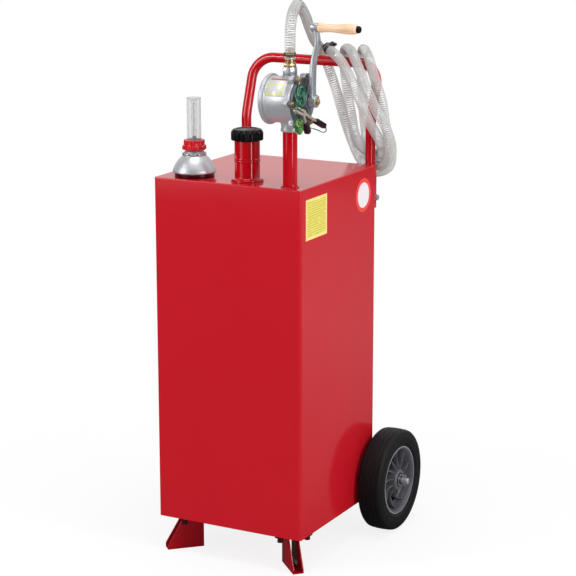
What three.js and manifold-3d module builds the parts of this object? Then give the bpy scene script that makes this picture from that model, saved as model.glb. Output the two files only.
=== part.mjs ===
// A portable fuel caddy: a tall sheet-metal tank on two folded feet and two wheels, with a filler,
// a float gauge, a rotary hand pump, its hose, an earthing wire and a push handle.
// Millimetres. X runs to the right seen from the front, Y to the back, Z up.
// The origin is the centre of the tank's underside.
import * as THREE from "three";
import { mergeVertices } from "three/addons/utils/BufferGeometryUtils.js";
import Module from "manifold-3d";

const wasm = await Module();
wasm.setup();

// Fits that all pieces share
const SEAT = 0.3; // left between two pieces that touch
const RUNNING = 0.3; // round a piece that turns or slides
const OVERRUN = 2; // how far a cutting shape runs past a face
const BORE_ROOM = 0.4; // round a screw or pin in its hole

// Tank
const TANK_WIDTH = 395;
const TANK_DEPTH = 395;
const TANK_HEIGHT = 850;
const TANK_SHEET = 1.5;
const TANK_CORNER = 7;
const PAN_LIP = 14;
const TANK_FRONT = -TANK_DEPTH / 2;
const TANK_BACK = TANK_DEPTH / 2;
const TANK_SIDE = TANK_WIDTH / 2;
const TANK_CORNER_STEPS = 3;
const BEARING_PAD = 120; // side of the doubled square in the middle of the underside
const PAN_RECESS = 0.6; // of the rest of the underside above that square
const FLOOR_CLEARANCE = 88; // from the floor to the tank's underside

// Filler neck and its cap
const FILLER_X = 28;
const FILLER_INSET = 53; // from the tank's front face
const NECK_RADIUS = 28.7;
const NECK_WALL = 2.4;
const NECK_HEIGHT = 52;
const NECK_FLANGE_RADIUS = 37.5;
const NECK_FLANGE_HEIGHT = 7;
const NECK_BEAD = 0.8; // how far the rolled bead at the seam stands out
const NECK_BEAD_HEIGHT = 4;
const COLLAR_RADIUS = 27.2;
const COLLAR_BORE = 22.5;
const COLLAR_HEIGHT = 62; // above the seam
const COLLAR_SPIGOT = 18; // inside the neck
const CAP_RADIUS = 37.5;
const CAP_HEIGHT = 29;
const CAP_TOP = 4;
const CAP_WALL_RADIUS = 29.5; // bore that goes over the collar
const CAP_TOP_ROUND = 7;
const CAP_RECESS = 2;
const CAP_RECESS_RADIUS = 25;
const CAP_FLUTES = 11;
const CAP_FLUTE_RADIUS = 6;
const CAP_FLUTE_DEPTH = 2.6;
const SEAL_HEIGHT = 3;
const SEAL_WIDTH = 6;

// Float gauge
const GAUGE_SIDE_INSET = 78.5; // from the tank's left face
const GAUGE_INSET = 58;
const GAUGE_RING_RADIUS = 50;
const GAUGE_RING_BORE = 30;
const GAUGE_RING_HEIGHT = 7;
const HEAD_RADIUS = 52;
const HEAD_HEIGHT = 53;
const HEAD_LIP = 4;
const HEAD_TOP_RADIUS = 27;
const HEAD_WALL = 3;
const HEAD_WAIST_SHARES = [
  [0.97, 0.24],
  [0.87, 0.52],
  [0.73, 0.74],
  [0.6, 0.87],
];
const HEAD_TAB_REACH = 30;
const HEAD_TAB_WIDTH = 16;
const HEAD_TAB_HEIGHT = 6;
const GAUGE_NUT_RADIUS = 23;
const GAUGE_NUT_HEIGHT = 25;
const GAUGE_NUT_LUGS = 8;
const GAUGE_NUT_LUG_RADIUS = 6;
const GAUGE_NUT_LUG_REACH = 27.5;
const GAUGE_NUT_LUG_HEIGHT = 13;
const SIGHT_RADIUS = 17;
const SIGHT_WALL = 2.2;
const SIGHT_HEIGHT = 125.5;
const SIGHT_TOP = 4;
const SIGHT_FOOT = 17; // of it inside the nut
const SIGHT_SHOULDER = 20; // radius of its foot ring
const SIGHT_SHOULDER_HEIGHT = 4;
const ROD_RADIUS = 1.6;
const ROD_BEAD_RADIUS = 5;
const ROD_BEAD_HEIGHT = 9;
const ROD_BEAD_END_SHARE = 0.7;
const ROD_EYE_RADIUS = 12;
const STEM_RADIUS = 9;
const STEM_BORE = 5;
const STEM_GUIDE = 12; // length at its top in which the rod runs
const STEM_DROP = 395; // from the tank's top to the float pivot
const STEM_FLANGE_RADIUS = 22;
const STEM_FLANGE_HEIGHT = 4;
const FORK_WIDTH = 16;
const FORK_DEPTH = 22;
const FORK_SLOT = 8;
const FORK_DROP = 22; // below the pivot
const FORK_RISE = 62; // above it, clear of the rod's eye at full tank
const FLOAT_PIN_RADIUS = 2.5;
const ROD_LINK_REACH = 52; // from the pivot to the rod's line, seen along Y
const FLOAT_SIDE_ROOM = 6.2; // between the level float's end and the suction tube
const FLOAT_ARM_RADIUS = 3;
const FLOAT_ARM_FALL = 0.61; // radians below level when the tank is empty
const FLOAT_RADIUS = 24;
const FLOAT_LENGTH = 70;
const FLOAT_END_SHARE = 0.6; // radius of its flat ends
const FLOAT_HUB_RADIUS = 7;

// Riser and what hangs below it
const RISER_SIDE_INSET = 43; // from the tank's right face
const RISER_INSET = 29;
const RISER_RADIUS = 16.85;
const RISER_WALL = 2.8;
const RISER_WELD = 4;
const RISER_TAIL = 26; // below the tank's top
const SUCTION_RADIUS = 11;
const SUCTION_WALL = 1.6;
const SUCTION_FLOOR_GAP = 28;
const STRAINER_RADIUS = 17;
const STRAINER_HEIGHT = 34;
const STRAINER_WALL = 1.6;
const STRAINER_SLOTS = 4;
const STRAINER_SLOT_WIDTH = 3;

// Pump: its axis runs along X
const PUMP_RISE = 203; // of its axis above the tank's top
const REAR_COVER_SETBACK = 50; // from the riser's middle to its outer face
const REAR_COVER_THICKNESS = 6.5;
const REAR_COVER_EDGE = 5.4; // past the drum
const REAR_RIM_WIDTH = 7;
const REAR_RIM_DEPTH = 2;
const DRUM_RADIUS = 53.3;
const DRUM_FRONT = 27.8; // from the riser's middle to the gasket
const CHAMBER_DROP = 4; // the chamber's axis below the shaft's
const DRUM_WALL = 5.3; // below the chamber
const GASKET_THICKNESS = 0.9;
const COVER_EDGE = 0.7; // past the drum
const COVER_THICKNESS = 7;
const COVER_RIM_WIDTH = 4;
const COVER_RIM_DEPTH = 1.6;
const BOSS_RADIUS = 20;
const BOSS_LENGTH = 14;
const BOSS_NOSE_RADIUS = 16;
const BOLT_STANDOFF = 6.7; // of the bolts' circle from the drum
const COVER_BOLTS = 6;
const COVER_BOLT_START = Math.PI / 6; // from straight up towards the front
const LUG_RADIUS = 7.5;
const LUG_DEPTH = 16;
const BOLT_HEAD_FLATS = 10;
const BOLT_HEAD = 4.5;
const PORT_RADIUS = 17.5;
const PORT_BORE = 11.5;
const PORT_HEIGHT = 3.2; // above the drum
const FOOT_PORT_RADIUS = 21.5;
const FOOT_PORT_DEPTH = 18.7; // below the drum
const FOOT_PORT_SOCKET = 11; // how far the riser goes in
const EARTH_TAB_LENGTH = 16;
const EARTH_TAB_THICKNESS = 3;
const EARTH_TAB_HEIGHT = 9;
const EARTH_TAB_PAST_RIM = 3.5; // of its middle, in front of the cover
const EARTH_TAB_DROP = 10.5; // below the pump's axis
const SHAFT_RADIUS = 7;
const SHAFT_HEEL = 3; // left of the rear cover behind the shaft
const ROTOR_ROOM = 2; // between the rotor and the chamber's top
const VANE_THICKNESS = 5;
const VANE_INNER = 17;
const VANE_REACH = 1.5; // past the rotor
const BUSH_RADIUS = 11;
const BUSH_LENGTH = 17;

// Crank and grip
const CRANK_RADIUS = 168;
const HUB_GAP = 1.2; // between the cover's boss and the hub
const HUB_LENGTH = 18;
const HUB_RADIUS = 13.5;
const ARM_THICKNESS = 9.5;
const ARM_ROOT_WIDTH = 22;
const ARM_TIP_WIDTH = 15;
const ARM_SETBACK = 7.5; // from the hub's start to the middle of the arm's root
const ARM_JOG = 11.5; // how far the arm leans out
const ARM_LINE_SHARES = [
  // of the jog, and of the crank's radius
  [0, 0],
  [-0.113, 0.131],
  [0.078, 0.494],
  [0.652, 0.679],
  [1, 0.78],
  [0.87, 0.911],
  [0.504, 1],
];
const KNOB_BOSS_RADIUS = 10.5;
const KNOB_BOSS_SETBACK = 5.5; // from the hub's start
const KNOB_BOSS_LENGTH = 15;
const SHAFT_IN_HUB = 13;
const CRANK_BOLT_RADIUS = 4;
const CRANK_BOLT_HEAD_RADIUS = 8.5;
const CRANK_BOLT_HEAD = 4;
const CRANK_BOLT_FLATS = 12.75;
const CRANK_BOLT_LENGTH = 4.4;
const PIN_RADIUS = 4;
const PIN_HEAD_RADIUS = 6;
const PIN_HEAD = 3;
const GRIP_LENGTH = 97;
const GRIP_PROFILE_SHARES = [
  // radius and place along the grip
  [0.8, 0],
  [0.97, 0.02],
  [1, 0.06],
  [0.93, 0.16],
  [0.84, 0.32],
  [0.87, 0.5],
  [0.95, 0.68],
  [0.99, 0.82],
  [0.93, 0.93],
  [0.78, 1],
];
const GRIP_RADIUS = 12;
const GRIP_CAP_RADIUS = 8.2;
const GRIP_CAP_LENGTH = 8;
const GRIP_CAP_ROUND = 2;

// Outlet fittings and hose
const HOSE_RADIUS = 12.5;
const ADAPTER_FLATS = 32;
const ADAPTER_HEIGHT = 19;
const ADAPTER_SPIGOT = 12;
const BARB_HEX_FLATS = 28;
const BARB_HEX_HEIGHT = 8;
const BARB_RADIUS = 8.7;
const BARB_BORE = 6;
const BARB_NECK_RADIUS = 11;
const BARB_NECK_HEIGHT = 9;
const BARB_LENGTH = 24;
const BARB_RIDGE = 0.9;
const BARB_RIDGES = 2;
const HOSE_BORE = 10.2;
const CLIP_THICKNESS = 1;
const CLIP_WIDTH = 9;
const CLIP_BOX_LENGTH = 16;
const CLIP_BOX_HEIGHT = 8;
const CLIP_BOX_WIDTH = 10;
const CLIP_FROM_HOSE_END = 3;
const PUMP_CLIP_TURN = -1.1; // radians from the right towards the front
const END_CLIP_TURN = 2;
const HOSE_END_LENGTH = 30;
const HOSE_END_LIP = 5;
const HOSE_END_LIP_RADIUS = 12.2;

// Handle
const HANDLE_RADIUS = 12.5;
const HANDLE_WALL = 2;
const HANDLE_LEG_INSET = 22.5; // of each leg from the tank's side
const HANDLE_BACK_GAP = 15; // from the tank's back to the leg's middle
const HANDLE_FOOT_DROP = 103; // of the tube's ends below the tank's top
const HANDLE_KINK_RISE = 98; // above the tank's top
const HANDLE_RISE = 240; // of the bar above the tank's top
const HANDLE_LEAN = 47; // how far the top bar lies behind the legs
const HANDLE_BEND = 55;
const HANDLE_KINK_BEND = 90;
const SOCKET_WALL = 3;
const SOCKET_TOP_DROP = 5; // below the tank's top
const SOCKET_LENGTH = 105;
const HANDLE_BOLT_INSET = 26; // above the sockets' lower end
const HANDLE_BOLT_RADIUS = 4;
const HANDLE_BOLT_HEAD_FLATS = 13;
const HANDLE_BOLT_HEAD = 5.5;

// Feet
const FOOT_WIDTH = 27;
const FOOT_SHEET = 3;
const FOOT_INSET = 12.5; // of its outer end from both faces
const FOOT_LENGTH = 92;
const FOOT_TOP_LENGTH = 46;
const FOOT_TOE = 10;
const FOOT_FLANGE = 20;
const FOOT_DRAIN_RADIUS = 4;
const FOOT_BOLT_RADIUS = 3.2;

// Wheels and axle
const WHEEL_RADIUS = 130;
const WHEEL_WIDTH = 64;
const WHEEL_GAP = 8.5; // between the tank's side and the tyre
const AXLE_BACK_GAP = 15; // from the tank's back to the axle
const RIM_RADIUS = 84;
const RIM_WALL = 6;
const RIM_WIDTH = 46;
const RIM_HUB_RADIUS = 27;
const RIM_HUB_LENGTH = 58;
const RIM_WEB = 5;
const SPOKES = 12;
const SPOKE_THICKNESS = 3.2;
const SPOKE_DEPTH = 15;
const SPOKE_SWEEP = 0.42; // radians between a spoke's root and tip
const SPOKE_STEPS = 2;
const TYRE_SHOULDER = 6;
const TYRE_CROWN = 3;
const TREAD_GROOVE = 2.5;
const TREAD_PITCH = 28;
const TREAD_GROOVE_DEPTH = 3;
const TYRE_BEAD_WIDTH = 44;
const AXLE_RADIUS = 8;
const AXLE_OVERHANG = 20; // past the tyre
const AXLE_ROUND = 2.5;
const WHEEL_BUSH_RADIUS = 17.5;
const CARRIER_SHEET = 4;
const CARRIER_INSET = 5.5; // from the tank's sides
const CARRIER_HEIGHT = 66;
const CARRIER_EAR_RADIUS = 14;
const COTTER_RADIUS = 1.6;

// Earthing wire and clamp, flat between the pump's cover and the crank
const WIRE_RADIUS = 1.25;
const CLAMP_OFF_COVER = 7.2; // from the cover's face to the clamp's middle
const CLAMP_WIDTH = 10;
const CLAMP_JAW_LENGTH = 41.14; // from the tip to the pivot
const CLAMP_JAW_TURN = -0.3602; // radians above level, towards the back
const CLAMP_LONG_LENGTH = 114.31;
const CLAMP_LONG_TURN = -0.3951;
const CLAMP_SHORT_LENGTH = 54.78;
const CLAMP_SHORT_TURN = -1.1071;
const CLAMP_BAR = 6;
const CLAMP_GRIP = 9;
const CLAMP_GRIP_SHARE = 0.4; // of each handle that the sleeve covers
const CLAMP_CHEEK_RADIUS = 7;
const CLAMP_CHEEK = 3; // thickness of each cheek
const CLAMP_BAR_THICKNESS = 5;
const CLAMP_ROOM = 16.5; // radius in which the short lever has its own layer when squeezed
const CLAMP_TIP = 4.4;
const CLAMP_JAW_SHARE = 0.4; // of the jaw at full depth
const CLAMP_PIN_RADIUS = 1.8;

// Sides of round shapes
const FINE = 24;
const ROUND = 18;
const MEDIUM = 12;
const SMALL = 8;
const FEW = 6;

// Placed values that several pieces follow
const FILLER_Y = TANK_FRONT + FILLER_INSET;
const GAUGE_X = -TANK_SIDE + GAUGE_SIDE_INSET;
const GAUGE_Y = TANK_FRONT + GAUGE_INSET;
const RISER_X = TANK_SIDE - RISER_SIDE_INSET;
const PUMP_Y = TANK_FRONT + RISER_INSET;
const PUMP_AXIS_HEIGHT = TANK_HEIGHT + PUMP_RISE;
const PORT_TOP = PUMP_AXIS_HEIGHT + DRUM_RADIUS + PORT_HEIGHT;
const FOOT_PORT_BOTTOM = PUMP_AXIS_HEIGHT - DRUM_RADIUS - FOOT_PORT_DEPTH;
const RISER_TOP = FOOT_PORT_BOTTOM + FOOT_PORT_SOCKET;
const CHAMBER_RADIUS = DRUM_RADIUS - CHAMBER_DROP - DRUM_WALL;
const ROTOR_RADIUS = CHAMBER_RADIUS - CHAMBER_DROP - ROTOR_ROOM;
const VANE_TIP = ROTOR_RADIUS + VANE_REACH;
const COVER_RADIUS = DRUM_RADIUS + COVER_EDGE;
const REAR_COVER_RADIUS = DRUM_RADIUS + REAR_COVER_EDGE;
const BOLT_CIRCLE = DRUM_RADIUS + BOLT_STANDOFF;
const REAR_COVER_START = RISER_X - REAR_COVER_SETBACK;
const DRUM_END = RISER_X + DRUM_FRONT;
const FLOAT_REACH = RISER_X - SUCTION_RADIUS - FLOAT_SIDE_ROOM - GAUGE_X + ROD_LINK_REACH;
const FLOAT_ARM_LENGTH = FLOAT_REACH - FLOAT_LENGTH - SEAT;
const SEAM_HEIGHT = TANK_HEIGHT + SEAT + NECK_HEIGHT;
const COLLAR_TOP = SEAM_HEIGHT + SEAT + COLLAR_HEIGHT;
const HEAD_BASE = TANK_HEIGHT + GAUGE_RING_HEIGHT + 2 * SEAT;
const HEAD_TOP = HEAD_BASE + HEAD_HEIGHT;
const LEG_Y = TANK_BACK + HANDLE_BACK_GAP;
const HANDLE_LEG_X = TANK_SIDE - HANDLE_LEG_INSET;
const HANDLE_FOOT = TANK_HEIGHT - HANDLE_FOOT_DROP;
const HANDLE_KINK = TANK_HEIGHT + HANDLE_KINK_RISE;
const HANDLE_TOP = TANK_HEIGHT + HANDLE_RISE;
const SOCKET_TOP = TANK_HEIGHT - SOCKET_TOP_DROP;
const SOCKET_BOTTOM = SOCKET_TOP - SOCKET_LENGTH;
const HANDLE_BOLT_HEIGHT = SOCKET_BOTTOM + HANDLE_BOLT_INSET;
const BAR_Y = LEG_Y + HANDLE_LEAN;
const AXLE_Y = TANK_BACK + AXLE_BACK_GAP;
const AXLE_HEIGHT = WHEEL_RADIUS - FLOOR_CLEARANCE;
const WHEEL_INNER = TANK_SIDE + WHEEL_GAP;
const AXLE_END = WHEEL_INNER + WHEEL_WIDTH + AXLE_OVERHANG;
const CARRIER_SPAN = TANK_WIDTH - 2 * CARRIER_INSET;
const COVER_START = DRUM_END + GASKET_THICKNESS + 2 * SEAT;
const COVER_FACE = COVER_START + COVER_THICKNESS;
const HUB_START = COVER_FACE + BOSS_LENGTH + HUB_GAP;
const KNOB_BOSS_START = HUB_START + KNOB_BOSS_SETBACK;
const REAR_COVER_FACE = REAR_COVER_START + REAR_COVER_THICKNESS;
const DRUM_START = REAR_COVER_FACE + SEAT;
const BARB_START = PORT_TOP + ADAPTER_HEIGHT + 2 * SEAT;
const HOSE_START = BARB_START + BARB_HEX_HEIGHT + BARB_NECK_HEIGHT + SEAT;
const CLAMP_X = COVER_FACE + CLAMP_OFF_COVER;
const CLAMP_JAW = [PUMP_Y - COVER_RADIUS - EARTH_TAB_PAST_RIM, PUMP_AXIS_HEIGHT - EARTH_TAB_DROP];
const CLAMP_PIVOT = reached(CLAMP_JAW, CLAMP_JAW_LENGTH, CLAMP_JAW_TURN);
const CLAMP_LONG_END = reached(CLAMP_PIVOT, CLAMP_LONG_LENGTH, CLAMP_LONG_TURN);
const CLAMP_SHORT_END = reached(CLAMP_PIVOT, CLAMP_SHORT_LENGTH, CLAMP_SHORT_TURN);
const UP = new THREE.Vector3(0, 0, 1);

// The point at a length and a turn from another, in Y and Z
function reached([y, z], length, turn) {
  return [y + length * Math.cos(turn), z + length * Math.sin(turn)];
}

// Solid tools
function welded(geometry) {
  const bare = geometry.clone();
  bare.deleteAttribute("normal");
  bare.deleteAttribute("uv");
  const merged = mergeVertices(bare, 1e-4);
  const index = merged.index.array;
  const kept = [];
  for (let i = 0; i < index.length; i += 3) {
    const [a, b, c] = [index[i], index[i + 1], index[i + 2]];
    if (a !== b && b !== c && c !== a) kept.push(a, b, c);
  }
  merged.setIndex(kept);
  return volumeOf(merged) < 0 ? insideOut(merged) : merged;
}

function volumeOf(geometry) {
  const at = geometry.attributes.position;
  const index = geometry.index.array;
  const [a, b, c] = [new THREE.Vector3(), new THREE.Vector3(), new THREE.Vector3()];
  let sum = 0;
  for (let i = 0; i < index.length; i += 3) {
    a.fromBufferAttribute(at, index[i]);
    b.fromBufferAttribute(at, index[i + 1]);
    c.fromBufferAttribute(at, index[i + 2]);
    sum += a.dot(b.cross(c)) / 6;
  }
  return sum;
}

function insideOut(geometry) {
  const index = geometry.index.array;
  for (let i = 0; i < index.length; i += 3) {
    [index[i + 1], index[i + 2]] = [index[i + 2], index[i + 1]];
  }
  return geometry;
}

function solidOf(geometry) {
  const shape = welded(geometry);
  return new wasm.Manifold(
    new wasm.Mesh({
      numProp: 3,
      vertProperties: new Float32Array(shape.attributes.position.array),
      triVerts: new Uint32Array(shape.index.array),
    }),
  );
}

function geometryOf(solid) {
  const mesh = solid.getMesh();
  return new THREE.BufferGeometry()
    .setAttribute("position", new THREE.BufferAttribute(mesh.vertProperties, 3))
    .setIndex(new THREE.BufferAttribute(mesh.triVerts, 1));
}

function join(...geometries) {
  return geometryOf(geometries.map(solidOf).reduce((all, next) => all.add(next)));
}

function cut(geometry, ...tools) {
  return geometryOf(tools.map(solidOf).reduce((left, tool) => left.subtract(tool), solidOf(geometry)));
}

function common(geometry, other) {
  return geometryOf(solidOf(geometry).intersect(solidOf(other)));
}

// A profile of [radius, height] pairs turned about Z. One that leaves the axis out is a closed ring.
function turned(profile, sides = ROUND) {
  const ring = profile[0][0] > 0;
  const outline = ring ? [...profile, profile[0]] : profile;
  const points = outline.map(([radius, height]) => new THREE.Vector2(radius, height));
  return welded(new THREE.LatheGeometry(points, sides).rotateX(Math.PI / 2));
}

function rod(radius, length, sides = SMALL) {
  return turned([[0, 0], [radius, 0], [radius, length], [0, length]], sides);
}

function pipe(outer, inner, length, sides = ROUND) {
  return turned([[inner, 0], [outer, 0], [outer, length], [inner, length]], sides);
}

function alongX(geometry) {
  return geometry.rotateY(Math.PI / 2);
}

function alongY(geometry) {
  return geometry.rotateX(-Math.PI / 2);
}

function block(low, high) {
  const size = low.map((value, axis) => high[axis] - value);
  const middle = low.map((value, axis) => (value + high[axis]) / 2);
  return new THREE.BoxGeometry(...size).translate(...middle);
}

function outlineOf(points) {
  return new THREE.Shape(points.map(([x, y]) => new THREE.Vector2(x, y)));
}

function extruded(shape, height, curveSegments = TANK_CORNER_STEPS) {
  return new THREE.ExtrudeGeometry(shape, { depth: height, bevelEnabled: false, curveSegments });
}

function roundedRectangle(width, depth, radius) {
  const [x, y] = [width / 2 - radius, depth / 2 - radius];
  const shape = new THREE.Shape();
  shape.absarc(x, y, radius, 0, Math.PI / 2, false);
  shape.absarc(-x, y, radius, Math.PI / 2, Math.PI, false);
  shape.absarc(-x, -y, radius, Math.PI, 1.5 * Math.PI, false);
  shape.absarc(x, -y, radius, 1.5 * Math.PI, 2 * Math.PI, false);
  return shape;
}

function regular(sides, radius, start = 0) {
  return Array.from({ length: sides }, (_, i) => {
    const angle = start + (2 * Math.PI * i) / sides;
    return [radius * Math.cos(angle), radius * Math.sin(angle)];
  });
}

function hexagon(flats, height) {
  return extruded(outlineOf(regular(6, flats / Math.sqrt(3))), height);
}

// A route through its own points, with one step of the extrusion for each of them.
class PointRoute extends THREE.Curve {
  constructor(points) {
    super();
    this.stops = points;
  }

  getPoint(share, target = new THREE.Vector3()) {
    const place = share * (this.stops.length - 1);
    const i = Math.min(Math.floor(place), this.stops.length - 2);
    return target.copy(this.stops[i]).lerp(this.stops[i + 1], place - i);
  }

  getPointAt(share, target) {
    return this.getPoint(share, target);
  }

  getSpacedPoints(steps) {
    return this.getPoints(steps);
  }

  getTangentAt(share, target = new THREE.Vector3()) {
    const i = Math.round(share * (this.stops.length - 1));
    const before = this.stops[Math.max(i - 1, 0)];
    const after = this.stops[Math.min(i + 1, this.stops.length - 1)];
    return target.copy(after).sub(before).normalize();
  }
}

function sweptThrough(points, section) {
  const steps = points.length - 1;
  const settings = { extrudePath: new PointRoute(points), steps, bevelEnabled: false };
  return welded(new THREE.ExtrudeGeometry(section, settings));
}

function roundSection(sides, radius, boreSides, bore) {
  const shape = outlineOf(regular(sides, radius));
  if (bore) shape.holes.push(outlineOf(regular(boreSides, bore)));
  return shape;
}

// The corners of a bent tube, each with its bend radius, as points along straights and arcs.
function bent(corners, radii, stepsEach) {
  const points = [corners[0]];
  for (let i = 1; i < corners.length - 1; i += 1) {
    const into = corners[i].clone().sub(corners[i - 1]).normalize();
    const out = corners[i + 1].clone().sub(corners[i]).normalize();
    const turn = into.angleTo(out);
    const tangent = radii[i - 1] * Math.tan(turn / 2);
    const start = corners[i].clone().addScaledVector(into, -tangent);
    const normal = out.clone().addScaledVector(into, -into.dot(out)).normalize();
    const centre = start.clone().addScaledVector(normal, radii[i - 1]);
    for (let step = 0; step <= stepsEach[i - 1]; step += 1) {
      const angle = (turn * step) / stepsEach[i - 1];
      const point = centre.clone().addScaledVector(normal, -radii[i - 1] * Math.cos(angle));
      points.push(point.addScaledVector(into, radii[i - 1] * Math.sin(angle)));
    }
  }
  points.push(corners[corners.length - 1]);
  return points;
}

function leastGap(points, diameter, apart) {
  let least = Infinity;
  for (let i = 0; i < points.length; i += 1) {
    for (let j = i + apart; j < points.length; j += 1) {
      least = Math.min(least, points[i].distanceTo(points[j]) - diameter);
    }
  }
  return least;
}

// Finishes: colour, roughness, metalness
const FINISHES = {
  redPaint: [0xb81420, 0.3, 0.1],
  castSilver: [0xa9abae, 0.42, 0.6],
  castDark: [0x4a4d52, 0.5, 0.5],
  steel: [0xb9bcc0, 0.3, 0.9],
  brass: [0xb58a45, 0.35, 0.9],
  blackPlastic: [0x17171a, 0.45, 0],
  redPlastic: [0xd1101c, 0.3, 0],
  greyPlastic: [0x55575c, 0.55, 0],
  satinHead: [0xb5b7ba, 0.35, 0.5],
  clearPlastic: [0xe8ecef, 0.1, 0],
  clearHose: [0xdcdcda, 0.25, 0],
  rubber: [0x1d1d1e, 0.8, 0],
  wood: [0xe0b07c, 0.6, 0],
  wire: [0x1f7a45, 0.5, 0],
};
const materials = Object.fromEntries(
  Object.entries(FINISHES).map(([name, [color, roughness, metalness]]) => [
    name,
    new THREE.MeshStandardMaterial({ name, color, roughness, metalness }),
  ]),
);

const caddy = new THREE.Group();

function add(name, finish, geometry) {
  const mesh = new THREE.Mesh(geometry, materials[finish]);
  mesh.name = name;
  caddy.add(mesh);
  return mesh;
}

// Tank: a folded wrap and two pans whose lips sit inside it
function tank() {
  const wall = roundedRectangle(TANK_WIDTH, TANK_DEPTH, TANK_CORNER);
  const innerRadius = TANK_CORNER - TANK_SHEET;
  const inner = roundedRectangle(TANK_WIDTH - 2 * TANK_SHEET, TANK_DEPTH - 2 * TANK_SHEET, innerRadius);
  wall.holes.push(inner);
  add("tank_wrap", "redPaint", welded(extruded(wall, TANK_HEIGHT)));

  const inset = 2 * (TANK_SHEET + SEAT);
  const lipInset = inset + 2 * TANK_SHEET;
  const pan = (bottom, lipBottom) => {
    const panWidth = TANK_WIDTH - inset;
    const panDepth = TANK_DEPTH - inset;
    const panRadius = innerRadius - SEAT;
    const face = extruded(roundedRectangle(panWidth, panDepth, panRadius), TANK_SHEET);
    const lip = roundedRectangle(panWidth, panDepth, panRadius);
    lip.holes.push(
      roundedRectangle(TANK_WIDTH - lipInset, TANK_DEPTH - lipInset, panRadius - TANK_SHEET),
    );
    return join(face.translate(0, 0, bottom), extruded(lip, PAN_LIP).translate(0, 0, lipBottom));
  };
  const neckBore = NECK_RADIUS - NECK_WALL;
  const hole = (radius) => rod(radius, PAN_LIP, ROUND).translate(0, 0, TANK_HEIGHT - PAN_LIP / 2);
  const top = cut(
    pan(TANK_HEIGHT - TANK_SHEET, TANK_HEIGHT - PAN_LIP),
    hole(neckBore).translate(FILLER_X, FILLER_Y, 0),
    hole(GAUGE_RING_BORE).translate(GAUGE_X, GAUGE_Y, 0),
    hole(RISER_RADIUS + SEAT).translate(RISER_X, PUMP_Y, 0),
  );
  add("tank_top_pan", "redPaint", top);
  const bolt = rod(FOOT_BOLT_RADIUS, PAN_LIP, FEW).translate(0, 0, -PAN_LIP / 2);
  const bolts = footBoltPlaces().map(([x, y]) => bolt.clone().translate(x, y, 0));
  const half = BEARING_PAD / 2;
  const pad = block([-half, -half, 0], [half, half, 2 * TANK_SHEET]);
  add("tank_bottom_pan", "redPaint", join(cut(pan(PAN_RECESS, PAN_RECESS), ...bolts), pad));
}

// Feet stand on the diagonals of the two front corners.
function footBoltPlaces() {
  return [-1, 1].flatMap((side) =>
    [-1, 1].map((flank) => {
      const along = -FOOT_LENGTH + FOOT_TOP_LENGTH / 2;
      const across = flank * (FOOT_WIDTH / 2 + FOOT_FLANGE / 2);
      return footPlace(side, along, across);
    }),
  );
}

function footPlace(side, along, across) {
  const half = Math.SQRT1_2;
  const [x0, y0] = [side * (TANK_SIDE - FOOT_INSET), TANK_FRONT + FOOT_INSET];
  return [x0 + side * half * (along + across), y0 + half * (across - along)];
}

function feet() {
  const top = PAN_RECESS - SEAT;
  const profile = [
    [-FOOT_LENGTH, -FLOOR_CLEARANCE],
    [0, -FLOOR_CLEARANCE],
    [0, -FLOOR_CLEARANCE + FOOT_TOE],
    [-FOOT_LENGTH + FOOT_TOP_LENGTH, top],
    [-FOOT_LENGTH, top],
  ];
  const channel = () => {
    const body = extruded(outlineOf(profile), FOOT_WIDTH).rotateX(Math.PI / 2);
    body.translate(0, FOOT_WIDTH / 2, 0);
    const inside = block(
      [-FOOT_LENGTH - OVERRUN, -FOOT_WIDTH / 2 + FOOT_SHEET, -FLOOR_CLEARANCE + FOOT_SHEET],
      [OVERRUN, FOOT_WIDTH / 2 - FOOT_SHEET, OVERRUN],
    );
    const flanges = [-1, 1].map((flank) => {
      const near = flank * (FOOT_WIDTH / 2 - FOOT_SHEET);
      const far = flank * (FOOT_WIDTH / 2 + FOOT_FLANGE);
      return block(
        [-FOOT_LENGTH, Math.min(near, far), top - FOOT_SHEET],
        [-FOOT_LENGTH + FOOT_TOP_LENGTH, Math.max(near, far), top],
      );
    });
    const holes = [-1, 1].map((flank) =>
      rod(FOOT_BOLT_RADIUS, FOOT_SHEET + 2 * OVERRUN, SMALL).translate(
        -FOOT_LENGTH + FOOT_TOP_LENGTH / 2,
        flank * (FOOT_WIDTH / 2 + FOOT_FLANGE / 2),
        top - FOOT_SHEET - OVERRUN,
      ),
    );
    const drain = rod(FOOT_DRAIN_RADIUS, FOOT_SHEET + 2 * OVERRUN, SMALL).translate(
      -FOOT_LENGTH / 4,
      0,
      -FLOOR_CLEARANCE - OVERRUN,
    );
    return cut(join(cut(body, inside), ...flanges), ...holes, drain);
  };
  for (const [name, side] of [["left", -1], ["right", 1]]) {
    const turn = side > 0 ? -Math.PI / 4 : -0.75 * Math.PI;
    const foot = channel().rotateZ(turn);
    foot.translate(side * (TANK_SIDE - FOOT_INSET), TANK_FRONT + FOOT_INSET, 0);
    add(`foot_${name}`, "redPaint", foot);
  }
}

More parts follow.
